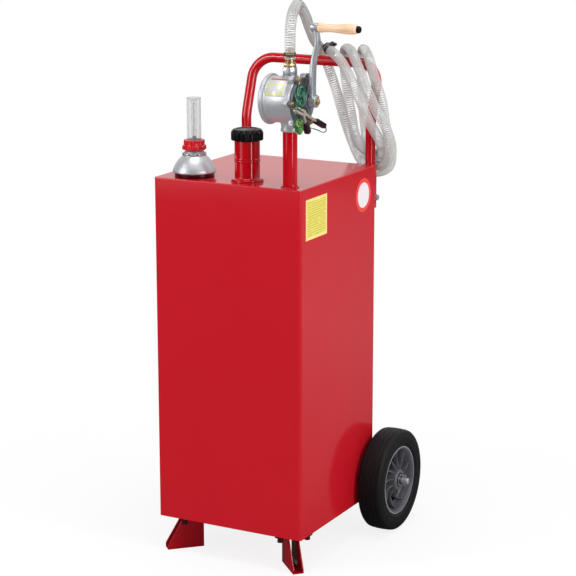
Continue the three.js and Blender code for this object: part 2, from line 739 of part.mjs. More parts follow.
// Filler neck with its collar, and the screw cap with its seal
function filler() {
  const bore = NECK_RADIUS - NECK_WALL;
  const beadBottom = NECK_HEIGHT - NECK_BEAD_HEIGHT;
  const neck = turned([
    [bore, 0],
    [NECK_FLANGE_RADIUS, 0],
    [NECK_FLANGE_RADIUS, NECK_FLANGE_HEIGHT / 2],
    [NECK_FLANGE_RADIUS - NECK_WALL, NECK_FLANGE_HEIGHT],
    [NECK_RADIUS, NECK_FLANGE_HEIGHT],
    [NECK_RADIUS, beadBottom],
    [NECK_RADIUS + NECK_BEAD, beadBottom + NECK_BEAD],
    [NECK_RADIUS + NECK_BEAD, NECK_HEIGHT - NECK_BEAD],
    [NECK_RADIUS, NECK_HEIGHT],
    [bore, NECK_HEIGHT],
  ]);
  add("filler_neck", "redPaint", neck.translate(FILLER_X, FILLER_Y, TANK_HEIGHT + SEAT));

  const spigot = bore - SEAT;
  const collar = turned([
    [COLLAR_BORE, SEAM_HEIGHT - COLLAR_SPIGOT],
    [spigot, SEAM_HEIGHT - COLLAR_SPIGOT],
    [spigot, SEAM_HEIGHT + SEAT],
    [COLLAR_RADIUS, SEAM_HEIGHT + SEAT],
    [COLLAR_RADIUS, COLLAR_TOP],
    [COLLAR_BORE, COLLAR_TOP],
  ]);
  add("neck_collar", "redPaint", collar.translate(FILLER_X, FILLER_Y, 0));

  const ceiling = COLLAR_TOP + SEAL_HEIGHT + 2 * SEAT;
  const capTop = ceiling + CAP_TOP;
  const skirt = capTop - CAP_HEIGHT;
  const shell = turned([
    [0, ceiling],
    [CAP_WALL_RADIUS, ceiling],
    [CAP_WALL_RADIUS, skirt],
    [CAP_RADIUS, skirt],
    [CAP_RADIUS, capTop - CAP_TOP_ROUND],
    [CAP_RADIUS - CAP_TOP_ROUND / 3, capTop - CAP_TOP_ROUND / 3],
    [CAP_RADIUS - CAP_TOP_ROUND, capTop],
    [CAP_RECESS_RADIUS, capTop],
    [CAP_RECESS_RADIUS - CAP_RECESS, capTop - CAP_RECESS],
    [0, capTop - CAP_RECESS],
  ], FINE);
  const flutes = regular(CAP_FLUTES, CAP_RADIUS + CAP_FLUTE_RADIUS - CAP_FLUTE_DEPTH).map(([x, y]) =>
    rod(CAP_FLUTE_RADIUS, CAP_HEIGHT + 2 * OVERRUN, FEW).translate(x, y, skirt - OVERRUN),
  );
  add("filler_cap", "blackPlastic", cut(shell, ...flutes).translate(FILLER_X, FILLER_Y, 0));

  const seal = pipe(COLLAR_RADIUS, COLLAR_RADIUS - SEAL_WIDTH, SEAL_HEIGHT, MEDIUM);
  add("cap_seal", "rubber", seal.translate(FILLER_X, FILLER_Y, COLLAR_TOP + SEAT));
}

// Gauge: a dished head on a welded ring, with the float's works below it
function gauge() {
  const place = (geometry, height = 0) => geometry.translate(GAUGE_X, GAUGE_Y, height);
  const ring = turned([
    [GAUGE_RING_BORE, 0],
    [GAUGE_RING_RADIUS, 0],
    [GAUGE_RING_RADIUS, GAUGE_RING_HEIGHT],
    [GAUGE_RING_BORE, GAUGE_RING_HEIGHT],
  ], FINE);
  add("gauge_ring", "redPaint", place(ring, TANK_HEIGHT + SEAT));

  const outside = [
    [HEAD_RADIUS, 0],
    [HEAD_RADIUS, HEAD_LIP],
    ...HEAD_WAIST_SHARES.map(([r, h]) => [HEAD_RADIUS * r, HEAD_HEIGHT * h]),
    [HEAD_TOP_RADIUS, HEAD_HEIGHT * HEAD_WAIST_SHARES[3][1] + HEAD_WALL / 2],
    [HEAD_TOP_RADIUS, HEAD_HEIGHT],
  ];
  const throat = SIGHT_RADIUS - SIGHT_WALL;
  const inside = [
    [throat, HEAD_HEIGHT],
    [throat, HEAD_HEIGHT * HEAD_WAIST_SHARES[2][1]],
    ...HEAD_WAIST_SHARES.slice(0, 2)
      .reverse()
      .map(([r, h]) => [HEAD_RADIUS * r - HEAD_WALL, HEAD_HEIGHT * h - HEAD_WALL]),
    [HEAD_RADIUS - HEAD_WALL, 0],
  ];
  const tabs = [-1, 1].map((side) => {
    const [near, far] = [side * throat, side * HEAD_TAB_REACH];
    return block(
      [Math.min(near, far) + side * HEAD_WALL, -HEAD_TAB_WIDTH / 2, HEAD_HEIGHT - HEAD_TAB_HEIGHT],
      [Math.max(near, far) + side * HEAD_WALL, HEAD_TAB_WIDTH / 2, HEAD_HEIGHT - HEAD_WALL],
    );
  });
  const head = join(turned([...outside, ...inside], FINE), ...tabs);
  add("gauge_head", "satinHead", place(head, HEAD_BASE));

  const sightBottom = HEAD_TOP + SEAT;
  const nutBore = SIGHT_RADIUS + RUNNING;
  const nutShoulder = SIGHT_SHOULDER + RUNNING;
  const shoulderTop = SIGHT_SHOULDER_HEIGHT + 2 * SEAT;
  const body = rod(GAUGE_NUT_RADIUS, GAUGE_NUT_HEIGHT, ROUND);
  const lugs = regular(GAUGE_NUT_LUGS, GAUGE_NUT_LUG_REACH - GAUGE_NUT_LUG_RADIUS).map(([x, y]) =>
    rod(GAUGE_NUT_LUG_RADIUS, GAUGE_NUT_LUG_HEIGHT, FEW).translate(
      x,
      y,
      (GAUGE_NUT_HEIGHT - GAUGE_NUT_LUG_HEIGHT) / 2,
    ),
  );
  const room = turned([
    [0, -OVERRUN],
    [nutShoulder, -OVERRUN],
    [nutShoulder, shoulderTop],
    [nutBore, shoulderTop],
    [nutBore, GAUGE_NUT_HEIGHT + OVERRUN],
    [0, GAUGE_NUT_HEIGHT + OVERRUN],
  ], ROUND);
  add("gauge_nut", "redPlastic", place(cut(join(body, ...lugs), room), sightBottom));

  const sightBore = SIGHT_RADIUS - SIGHT_WALL;
  const sight = turned([
    [sightBore, 0],
    [SIGHT_SHOULDER, 0],
    [SIGHT_SHOULDER, SIGHT_SHOULDER_HEIGHT],
    [SIGHT_RADIUS, SIGHT_SHOULDER_HEIGHT],
    [SIGHT_RADIUS, SIGHT_HEIGHT],
    [0, SIGHT_HEIGHT],
    [0, SIGHT_HEIGHT - SIGHT_TOP],
    [sightBore, SIGHT_HEIGHT - SIGHT_TOP],
  ].reverse());
  add("sight_tube", "clearPlastic", place(sight, sightBottom + SEAT));

  floatWorks(sightBottom);
}

function floatWorks(sightBottom) {
  const pivotHeight = TANK_HEIGHT - STEM_DROP;
  const stemTop = HEAD_BASE + STEM_FLANGE_HEIGHT;
  const forkTop = pivotHeight + FORK_RISE;
  // The stem hangs from a flange on the gauge ring; its fork carries the pivot beside the rod.
  const flange = rod(GAUGE_RING_BORE + STEM_FLANGE_HEIGHT, STEM_FLANGE_HEIGHT, ROUND);
  const stem = join(
    flange.translate(0, 0, HEAD_BASE),
    rod(STEM_RADIUS, stemTop - forkTop, MEDIUM).translate(0, 0, forkTop),
    block(
      [-ROD_LINK_REACH - FORK_WIDTH / 2, -FORK_DEPTH / 2, forkTop],
      [FORK_WIDTH / 2, FORK_DEPTH / 2, forkTop + TANK_SHEET * 2],
    ),
    block(
      [-ROD_LINK_REACH - FORK_WIDTH / 2, -FORK_DEPTH / 2, pivotHeight - FORK_DROP],
      [-ROD_LINK_REACH + FORK_WIDTH / 2, FORK_DEPTH / 2, forkTop],
    ),
  );
  const bore = rod(STEM_BORE, stemTop - STEM_GUIDE - pivotHeight).translate(0, 0, pivotHeight);
  const guide = rod(ROD_RADIUS + RUNNING, TANK_HEIGHT).translate(0, 0, pivotHeight);
  const slot = block(
    [-ROD_LINK_REACH - FORK_WIDTH, -FORK_SLOT / 2, pivotHeight - 2 * FORK_DROP],
    [-ROD_LINK_REACH + FORK_WIDTH, FORK_SLOT / 2, forkTop - FORK_SLOT / 2],
  );
  const pinHole = alongY(rod(FLOAT_PIN_RADIUS + SEAT, 2 * FORK_DEPTH)).translate(
    -ROD_LINK_REACH,
    -FORK_DEPTH,
    pivotHeight,
  );
  const place = (geometry) => geometry.translate(GAUGE_X, GAUGE_Y, 0);
  add("gauge_stem", "steel", place(cut(stem, bore, guide, slot, pinHole)));

  const pin = alongY(rod(FLOAT_PIN_RADIUS, FORK_DEPTH)).translate(
    -ROD_LINK_REACH,
    -FORK_DEPTH / 2,
    pivotHeight,
  );
  add("float_pivot_pin", "steel", place(pin));

  // The arm slopes down to the float, and the rod's eye hangs round it.
  const hub = alongY(pipe(FLOAT_HUB_RADIUS, FLOAT_PIN_RADIUS + RUNNING, FORK_SLOT - 2 * RUNNING, SMALL));
  hub.translate(0, -FORK_SLOT / 2 + RUNNING, 0);
  const arm = alongX(rod(FLOAT_ARM_RADIUS, FLOAT_ARM_LENGTH - FLOAT_HUB_RADIUS, SMALL));
  arm.translate(FLOAT_HUB_RADIUS - SEAT, 0, 0);
  const lever = join(hub, arm).rotateY(FLOAT_ARM_FALL);
  add("float_arm", "brass", place(lever.translate(-ROD_LINK_REACH, 0, pivotHeight)));

  const half = FLOAT_LENGTH / 2;
  const chamfer = FLOAT_RADIUS * (1 - FLOAT_END_SHARE);
  const bulb = turned([
    [0, -half],
    [FLOAT_RADIUS - chamfer, -half],
    [FLOAT_RADIUS, -half + chamfer],
    [FLOAT_RADIUS, half - chamfer],
    [FLOAT_RADIUS - chamfer, half],
    [0, half],
  ], MEDIUM);
  const float = alongX(bulb).translate(FLOAT_ARM_LENGTH + half + SEAT, 0, 0).rotateY(FLOAT_ARM_FALL);
  add("gauge_float", "blackPlastic", place(float.translate(-ROD_LINK_REACH, 0, pivotHeight)));

  const armHeight = pivotHeight - ROD_LINK_REACH * Math.tan(FLOAT_ARM_FALL);
  const eye = new THREE.TorusGeometry(ROD_EYE_RADIUS, ROD_RADIUS, FEW, MEDIUM).rotateY(Math.PI / 2);
  const beadBottom = sightBottom + SIGHT_FOOT + ROD_BEAD_HEIGHT;
  const rodBottom = armHeight + ROD_EYE_RADIUS - ROD_RADIUS / 2;
  const rodTop = beadBottom + ROD_BEAD_HEIGHT;
  const indicator = join(
    rod(ROD_RADIUS, rodTop - rodBottom, FEW).translate(0, 0, rodBottom),
    eye.translate(0, 0, armHeight),
    turned([
      [0, beadBottom],
      [ROD_BEAD_RADIUS * ROD_BEAD_END_SHARE, beadBottom],
      [ROD_BEAD_RADIUS, beadBottom + ROD_BEAD_HEIGHT / 2],
      [ROD_BEAD_RADIUS * ROD_BEAD_END_SHARE, rodTop],
      [0, rodTop],
    ], SMALL),
  );
  add("indicator_rod", "blackPlastic", place(indicator));
}

// Riser through the tank's top, with the suction tube and its strainer below
function riser() {
  const place = (geometry, height) => geometry.translate(RISER_X, PUMP_Y, height);
  const bottom = TANK_HEIGHT - RISER_TAIL;
  const bore = RISER_RADIUS - RISER_WALL;
  const weldBottom = TANK_HEIGHT + SEAT;
  const pipeProfile = [
    [bore, bottom],
    [RISER_RADIUS, bottom],
    [RISER_RADIUS, weldBottom],
    [RISER_RADIUS + RISER_WELD, weldBottom],
    [RISER_RADIUS + RISER_WELD / 3, weldBottom + RISER_WELD / 3],
    [RISER_RADIUS, weldBottom + RISER_WELD],
    [RISER_RADIUS, RISER_TOP],
    [bore, RISER_TOP],
  ];
  add("riser_pipe", "redPaint", place(turned(pipeProfile), 0));

  const strainerTop = SUCTION_FLOOR_GAP + STRAINER_HEIGHT;
  const suctionBottom = strainerTop - STRAINER_RADIUS / 2;
  const spigot = bore - SEAT;
  const suction = turned([
    [SUCTION_RADIUS - SUCTION_WALL, suctionBottom],
    [SUCTION_RADIUS, suctionBottom],
    [SUCTION_RADIUS, bottom - RISER_TAIL / 2],
    [spigot, bottom + SEAT],
    [spigot, bottom + RISER_TAIL / 2],
    [SUCTION_RADIUS - SUCTION_WALL, bottom + RISER_TAIL / 2],
  ], MEDIUM);
  add("suction_tube", "clearPlastic", place(suction, 0));

  const inner = STRAINER_RADIUS - STRAINER_WALL;
  const basket = turned([
    [0, SUCTION_FLOOR_GAP],
    [STRAINER_RADIUS, SUCTION_FLOOR_GAP],
    [STRAINER_RADIUS, strainerTop],
    [SUCTION_RADIUS + SEAT, strainerTop],
    [SUCTION_RADIUS + SEAT, strainerTop - STRAINER_WALL],
    [inner, strainerTop - STRAINER_WALL],
    [inner, SUCTION_FLOOR_GAP + STRAINER_WALL],
    [0, SUCTION_FLOOR_GAP + STRAINER_WALL],
  ], MEDIUM);
  const slots = regular(STRAINER_SLOTS, 1).map(([x, y]) => {
    const slot = block(
      [inner - STRAINER_WALL, -STRAINER_SLOT_WIDTH / 2, SUCTION_FLOOR_GAP + STRAINER_WALL * 3],
      [STRAINER_RADIUS + OVERRUN, STRAINER_SLOT_WIDTH / 2, strainerTop - STRAINER_WALL * 4],
    );
    return slot.rotateZ(Math.atan2(y, x));
  });
  add("suction_strainer", "blackPlastic", place(cut(basket, ...slots), 0));
}

// Pump pieces are turned about X at the pump's axis.
function onPumpAxis(geometry, start) {
  return alongX(geometry).translate(start, PUMP_Y, PUMP_AXIS_HEIGHT);
}

function coverBoltPlaces() {
  return Array.from({ length: COVER_BOLTS }, (_, i) => {
    const angle = COVER_BOLT_START + (2 * Math.PI * i) / COVER_BOLTS;
    return [PUMP_Y - BOLT_CIRCLE * Math.sin(angle), PUMP_AXIS_HEIGHT + BOLT_CIRCLE * Math.cos(angle)];
  });
}

function lugs(start, depth) {
  return coverBoltPlaces().map(([y, z]) => alongX(rod(LUG_RADIUS, depth, SMALL)).translate(start, y, z));
}

function boltHeads(start) {
  return coverBoltPlaces().map(([y, z]) =>
    alongX(hexagon(BOLT_HEAD_FLATS, BOLT_HEAD)).translate(start - SEAT, y, z),
  );
}

function pumpBody() {
  const drumLength = DRUM_END - DRUM_START;
  const portTop = PORT_TOP - PUMP_AXIS_HEIGHT;
  const portBottom = PUMP_AXIS_HEIGHT - FOOT_PORT_BOTTOM;
  const drum = onPumpAxis(rod(DRUM_RADIUS, drumLength, FINE), DRUM_START);
  const outlet = rod(PORT_RADIUS, portTop, MEDIUM).translate(RISER_X, PUMP_Y, PUMP_AXIS_HEIGHT);
  const inlet = rod(FOOT_PORT_RADIUS, portBottom, MEDIUM).translate(RISER_X, PUMP_Y, FOOT_PORT_BOTTOM);
  const chamber = onPumpAxis(rod(CHAMBER_RADIUS, drumLength + 2 * OVERRUN, FINE), DRUM_START - OVERRUN);
  const socket = rod(RISER_RADIUS + SEAT, RISER_TOP - FOOT_PORT_BOTTOM + SEAT + OVERRUN, ROUND);
  const bore = rod(PORT_BORE, PORT_TOP - FOOT_PORT_BOTTOM + OVERRUN, MEDIUM);
  const housing = cut(
    join(drum, outlet, inlet, ...lugs(DRUM_END - LUG_DEPTH, LUG_DEPTH)),
    chamber.translate(0, 0, -CHAMBER_DROP),
    socket.translate(RISER_X, PUMP_Y, FOOT_PORT_BOTTOM - OVERRUN),
    bore.translate(RISER_X, PUMP_Y, FOOT_PORT_BOTTOM),
  );
  add("pump_housing", "castSilver", housing);

  const heelBore = REAR_COVER_THICKNESS - SHAFT_HEEL;
  const rear = turned([
    [0, 0],
    [SHAFT_RADIUS * 2, 0],
    [REAR_COVER_RADIUS - REAR_RIM_WIDTH - REAR_RIM_DEPTH, 0],
    [REAR_COVER_RADIUS - REAR_RIM_WIDTH, -REAR_RIM_DEPTH],
    [REAR_COVER_RADIUS - REAR_RIM_DEPTH / 2, -REAR_RIM_DEPTH],
    [REAR_COVER_RADIUS, -REAR_RIM_DEPTH / 2],
    [REAR_COVER_RADIUS, REAR_COVER_THICKNESS],
    [SHAFT_RADIUS + RUNNING, REAR_COVER_THICKNESS],
    [SHAFT_RADIUS + RUNNING, REAR_COVER_THICKNESS - heelBore],
    [0, REAR_COVER_THICKNESS - heelBore],
  ], FINE);
  add("pump_rear_cover", "castSilver", onPumpAxis(rear, REAR_COVER_START));

  const opening = rod(CHAMBER_RADIUS + OVERRUN, LUG_DEPTH, ROUND).translate(0, 0, -LUG_DEPTH / 2);
  const gasket = cut(
    onPumpAxis(rod(DRUM_RADIUS, GASKET_THICKNESS, ROUND), DRUM_END + SEAT),
    onPumpAxis(opening, DRUM_END).translate(0, 0, -CHAMBER_DROP),
  );
  add("cover_gasket", "rubber", gasket);

  const face = turned([
    [0, 0],
    [COVER_RADIUS, 0],
    [COVER_RADIUS, COVER_THICKNESS],
    [COVER_RADIUS - COVER_RIM_WIDTH, COVER_THICKNESS],
    [COVER_RADIUS - COVER_RIM_WIDTH - COVER_RIM_DEPTH, COVER_THICKNESS - COVER_RIM_DEPTH],
    [BOSS_RADIUS + COVER_RIM_WIDTH, COVER_THICKNESS - COVER_RIM_DEPTH],
    [BOSS_RADIUS, COVER_THICKNESS + COVER_RIM_WIDTH],
    [BOSS_NOSE_RADIUS + COVER_RIM_DEPTH, COVER_THICKNESS + BOSS_LENGTH - COVER_RIM_DEPTH],
    [BOSS_NOSE_RADIUS, COVER_THICKNESS + BOSS_LENGTH],
    [0, COVER_THICKNESS + BOSS_LENGTH],
  ], FINE);
  const bushHole = onPumpAxis(rod(BUSH_RADIUS + SEAT, BUSH_LENGTH + SEAT, MEDIUM), COVER_START - OVERRUN);
  const shaftHole = onPumpAxis(
    rod(SHAFT_RADIUS + RUNNING, COVER_THICKNESS + BOSS_LENGTH + 2 * OVERRUN, MEDIUM),
    COVER_START - OVERRUN,
  );
  const tab = block(
    [COVER_FACE - COVER_RIM_DEPTH - SEAT, -EARTH_TAB_LENGTH / 2, -EARTH_TAB_THICKNESS / 2],
    [COVER_FACE + EARTH_TAB_HEIGHT, EARTH_TAB_LENGTH / 2, EARTH_TAB_THICKNESS / 2],
  );
  tab.translate(0, EARTH_TAB_LENGTH / 4, 0).rotateX(CLAMP_JAW_TURN);
  tab.translate(0, CLAMP_JAW[0], CLAMP_JAW[1]);
  const front = cut(
    join(
      onPumpAxis(face, COVER_START),
      tab,
      ...lugs(COVER_START, COVER_THICKNESS),
      ...boltHeads(COVER_FACE),
    ),
    bushHole,
    shaftHole,
  );
  add("pump_front_cover", "castDark", front);

  const bush = pipe(BUSH_RADIUS, SHAFT_RADIUS + RUNNING, BUSH_LENGTH - OVERRUN, MEDIUM);
  add("shaft_bush", "brass", onPumpAxis(bush, COVER_START));
}

// Shaft, rotor and vanes turn with the crank.
function pumpWorks() {
  const shaftStart = REAR_COVER_START + SHAFT_HEEL + RUNNING;
  const shaftEnd = HUB_START + SHAFT_IN_HUB;
  add("pump_shaft", "steel", onPumpAxis(rod(SHAFT_RADIUS, shaftEnd - shaftStart, MEDIUM), shaftStart));

  const rotorStart = DRUM_START + SEAT;
  const rotorLength = DRUM_END - DRUM_START - 2 * SEAT;
  const slots = [-1, 1].map((side) => {
    const [near, far] = [side * (VANE_INNER - SEAT), side * (ROTOR_RADIUS + OVERRUN)];
    return block(
      [Math.min(near, far), -VANE_THICKNESS / 2 - SEAT, -OVERRUN],
      [Math.max(near, far), VANE_THICKNESS / 2 + SEAT, rotorLength + OVERRUN],
    );
  });
  const rotor = cut(pipe(ROTOR_RADIUS, SHAFT_RADIUS + SEAT, rotorLength, ROUND), ...slots);
  add("pump_rotor", "castSilver", onPumpAxis(rotor, rotorStart));
  for (const [name, side] of [["upper", -1], ["lower", 1]]) {
    const [near, far] = [side * VANE_INNER, side * VANE_TIP];
    const vane = block(
      [Math.min(near, far), -VANE_THICKNESS / 2, 0],
      [Math.max(near, far), VANE_THICKNESS / 2, rotorLength],
    );
    add(`vane_${name}`, "blackPlastic", onPumpAxis(vane, rotorStart));
  }
}

// Crank arm with its jog, standing straight up
function crank() {
  const line = ARM_LINE_SHARES.map(([out, rise]) => [ARM_SETBACK + ARM_JOG * out, CRANK_RADIUS * rise]);
  const left = line.map(([x, z]) => [x - ARM_THICKNESS / 2, z]);
  const right = line.map(([x, z]) => [x + ARM_THICKNESS / 2, z]).reverse();
  const side = extruded(outlineOf([...left, ...right]), ARM_ROOT_WIDTH).rotateX(Math.PI / 2);
  side.translate(0, ARM_ROOT_WIDTH / 2, 0);
  const taper = outlineOf([
    [-ARM_ROOT_WIDTH / 2, 0],
    [ARM_ROOT_WIDTH / 2, 0],
    [ARM_TIP_WIDTH / 2, CRANK_RADIUS],
    [-ARM_TIP_WIDTH / 2, CRANK_RADIUS],
  ]);
  const face = extruded(taper, ARM_SETBACK + ARM_JOG + ARM_THICKNESS);
  face.rotateX(Math.PI / 2).rotateZ(Math.PI / 2);
  const arm = common(side, face).translate(HUB_START, PUMP_Y, PUMP_AXIS_HEIGHT);
  const hub = onPumpAxis(rod(HUB_RADIUS, HUB_LENGTH, MEDIUM), HUB_START);
  const boss = onPumpAxis(rod(KNOB_BOSS_RADIUS, KNOB_BOSS_LENGTH, MEDIUM), KNOB_BOSS_START);
  const shaftHole = onPumpAxis(rod(SHAFT_RADIUS + SEAT, SHAFT_IN_HUB + SEAT + OVERRUN, MEDIUM), HUB_START);
  const boltHole = onPumpAxis(rod(CRANK_BOLT_RADIUS + BORE_ROOM, HUB_LENGTH + 2 * OVERRUN), HUB_START);
  const pinHole = onPumpAxis(rod(PIN_RADIUS + SEAT, KNOB_BOSS_LENGTH + 2 * OVERRUN), KNOB_BOSS_START);
  const whole = cut(
    join(arm, hub, boss.translate(0, 0, CRANK_RADIUS)),
    shaftHole.translate(-OVERRUN, 0, 0),
    boltHole,
    pinHole.translate(-OVERRUN, 0, CRANK_RADIUS),
  );
  add("crank_arm", "castSilver", whole);

  const hubFace = HUB_START + HUB_LENGTH + SEAT;
  const bolt = join(
    onPumpAxis(rod(CRANK_BOLT_RADIUS, CRANK_BOLT_LENGTH + SEAT), hubFace - CRANK_BOLT_LENGTH),
    onPumpAxis(rod(CRANK_BOLT_HEAD_RADIUS, CRANK_BOLT_HEAD / 3, MEDIUM), hubFace),
    onPumpAxis(hexagon(CRANK_BOLT_FLATS, CRANK_BOLT_HEAD), hubFace),
  );
  add("crank_bolt", "brass", bolt);
}

function grip() {
  const bossFace = KNOB_BOSS_START + KNOB_BOSS_LENGTH;
  const gripStart = bossFace + RUNNING;
  const capStart = gripStart + GRIP_LENGTH + RUNNING;
  const place = (geometry, start) => onPumpAxis(geometry, start).translate(0, 0, CRANK_RADIUS);
  const pinStart = KNOB_BOSS_START - SEAT - PIN_HEAD;
  const pin = join(
    rod(PIN_HEAD_RADIUS, PIN_HEAD),
    rod(PIN_RADIUS, capStart - pinStart + GRIP_CAP_LENGTH / 2),
  );
  add("grip_pin", "steel", place(pin, pinStart));
  const bore = PIN_RADIUS + RUNNING;
  const outline = GRIP_PROFILE_SHARES.map(([r, t]) => [GRIP_RADIUS * r, GRIP_LENGTH * t]);
  const wood = turned([[bore, 0], ...outline, [bore, GRIP_LENGTH]], MEDIUM);
  add("wooden_grip", "wood", place(wood, gripStart));
  const pocket = GRIP_CAP_LENGTH / 2 + SEAT;
  const cap = turned([
    [PIN_RADIUS + SEAT, 0],
    [GRIP_CAP_RADIUS, 0],
    [GRIP_CAP_RADIUS, GRIP_CAP_LENGTH - GRIP_CAP_ROUND],
    [GRIP_CAP_RADIUS - GRIP_CAP_ROUND, GRIP_CAP_LENGTH],
    [0, GRIP_CAP_LENGTH],
    [0, pocket],
    [PIN_RADIUS + SEAT, pocket],
  ].reverse(), MEDIUM);
  add("grip_end_cap", "blackPlastic", place(cap, capStart));
}

// Outlet adapter, barb and the clip round the hose
function clip() {
  const inner = (HOSE_RADIUS + SEAT) / Math.cos(Math.PI / MEDIUM);
  const band = pipe(inner + CLIP_THICKNESS, inner, CLIP_WIDTH, MEDIUM);
  const screwBox = block(
    [inner, -CLIP_BOX_LENGTH / 2, (CLIP_WIDTH - CLIP_BOX_WIDTH) / 2],
    [inner + CLIP_THICKNESS + CLIP_BOX_HEIGHT, CLIP_BOX_LENGTH / 2, (CLIP_WIDTH + CLIP_BOX_WIDTH) / 2],
  );
  return cut(join(band, screwBox), rod(inner, CLIP_BOX_LENGTH, MEDIUM).translate(0, 0, -OVERRUN));
}

function outlet() {
  const place = (geometry, height) => geometry.translate(RISER_X, PUMP_Y, height);
  const adapter = cut(
    join(
      hexagon(ADAPTER_FLATS, ADAPTER_HEIGHT),
      rod(PORT_BORE - SEAT, ADAPTER_SPIGOT + OVERRUN, MEDIUM).translate(0, 0, -ADAPTER_SPIGOT),
    ),
    rod(BARB_BORE + BARB_RIDGE, ADAPTER_HEIGHT + ADAPTER_SPIGOT + 2 * OVERRUN, MEDIUM).translate(
      0,
      0,
      -ADAPTER_SPIGOT - OVERRUN,
    ),
  );
  add("outlet_adapter", "castSilver", place(adapter, PORT_TOP + SEAT));

  const neckTop = BARB_HEX_HEIGHT + BARB_NECK_HEIGHT;
  const ridge = BARB_LENGTH / BARB_RIDGES;
  const ridges = Array.from({ length: BARB_RIDGES }, (_, i) => [
    [BARB_RADIUS - BARB_RIDGE, neckTop + i * ridge + ridge / 4],
    [BARB_RADIUS, neckTop + i * ridge + ridge / 4],
    [BARB_RADIUS - BARB_RIDGE, neckTop + (i + 1) * ridge],
  ]).flat();
  const stem = turned([
    [BARB_BORE, 0],
    [BARB_NECK_RADIUS, 0],
    [BARB_NECK_RADIUS, neckTop],
    [BARB_RADIUS - BARB_RIDGE, neckTop],
    ...ridges,
    [BARB_BORE, neckTop + BARB_LENGTH],
  ], MEDIUM);
  const nut = cut(
    hexagon(BARB_HEX_FLATS, BARB_HEX_HEIGHT),
    rod(BARB_NECK_RADIUS - SEAT, BARB_HEX_HEIGHT + 2 * OVERRUN, MEDIUM).translate(0, 0, -OVERRUN),
  );
  add("hose_barb", "brass", place(join(stem, nut), BARB_START));
  const pumpClip = clip().rotateZ(PUMP_CLIP_TURN);
  add("pump_hose_clip", "steel", place(pumpClip, HOSE_START + CLIP_FROM_HOSE_END));
}

// Handle: one bent tube in two folded sockets welded to the tank's back
function handle() {
  const corners = [
    [-HANDLE_LEG_X, LEG_Y, HANDLE_FOOT],
    [-HANDLE_LEG_X, LEG_Y, HANDLE_KINK],
    [-HANDLE_LEG_X, BAR_Y, HANDLE_TOP],
    [HANDLE_LEG_X, BAR_Y, HANDLE_TOP],
    [HANDLE_LEG_X, LEG_Y, HANDLE_KINK],
    [HANDLE_LEG_X, LEG_Y, HANDLE_FOOT],
  ].map((point) => new THREE.Vector3(...point));
  const radii = [HANDLE_KINK_BEND, HANDLE_BEND, HANDLE_BEND, HANDLE_KINK_BEND];
  const route = bent(corners, radii, [2, 5, 5, 2]);
  const section = roundSection(MEDIUM, HANDLE_RADIUS, SMALL, HANDLE_RADIUS - HANDLE_WALL);
  const holes = [-1, 1].map((side) =>
    alongX(rod(HANDLE_BOLT_RADIUS + SEAT, 3 * HANDLE_RADIUS)).translate(
      side * HANDLE_LEG_X - 1.5 * HANDLE_RADIUS,
      LEG_Y,
      HANDLE_BOLT_HEIGHT,
    ),
  );
  add("handle_tube", "redPaint", cut(sweptThrough(route, section), ...holes));

  const inner = HANDLE_RADIUS + SEAT;
  const outer = inner + SOCKET_WALL;
  const height = SOCKET_TOP - SOCKET_BOTTOM;
  const toTank = LEG_Y - TANK_BACK - SEAT;
  const sleeve = cut(
    join(
      rod(outer, height, ROUND),
      block([-outer, -toTank, 0], [outer, 0, height]),
    ),
    rod(inner, height + 2 * OVERRUN, ROUND).translate(0, 0, -OVERRUN),
    block([-inner, -toTank - OVERRUN, -OVERRUN], [inner, 0, height + OVERRUN]),
    alongX(rod(HANDLE_BOLT_RADIUS + SEAT, 3 * outer)).translate(
      -1.5 * outer,
      0,
      HANDLE_BOLT_HEIGHT - SOCKET_BOTTOM,
    ),
  );
  const boltLength = 2 * (outer + SEAT);
  const bolt = join(
    rod(HANDLE_BOLT_RADIUS, boltLength + HANDLE_BOLT_HEAD),
    hexagon(HANDLE_BOLT_HEAD_FLATS, HANDLE_BOLT_HEAD).translate(0, 0, -HANDLE_BOLT_HEAD),
    hexagon(HANDLE_BOLT_HEAD_FLATS, HANDLE_BOLT_HEAD).translate(0, 0, boltLength),
  );
  for (const [name, side] of [["left", -1], ["right", 1]]) {
    const x = side * HANDLE_LEG_X;
    add(`handle_socket_${name}`, "redPaint", sleeve.clone().translate(x, LEG_Y, SOCKET_BOTTOM));
    const seated = alongX(bolt.clone()).translate(x - boltLength / 2, LEG_Y, HANDLE_BOLT_HEIGHT);
    add(`handle_bolt_${name}`, "steel", seated);
  }
}

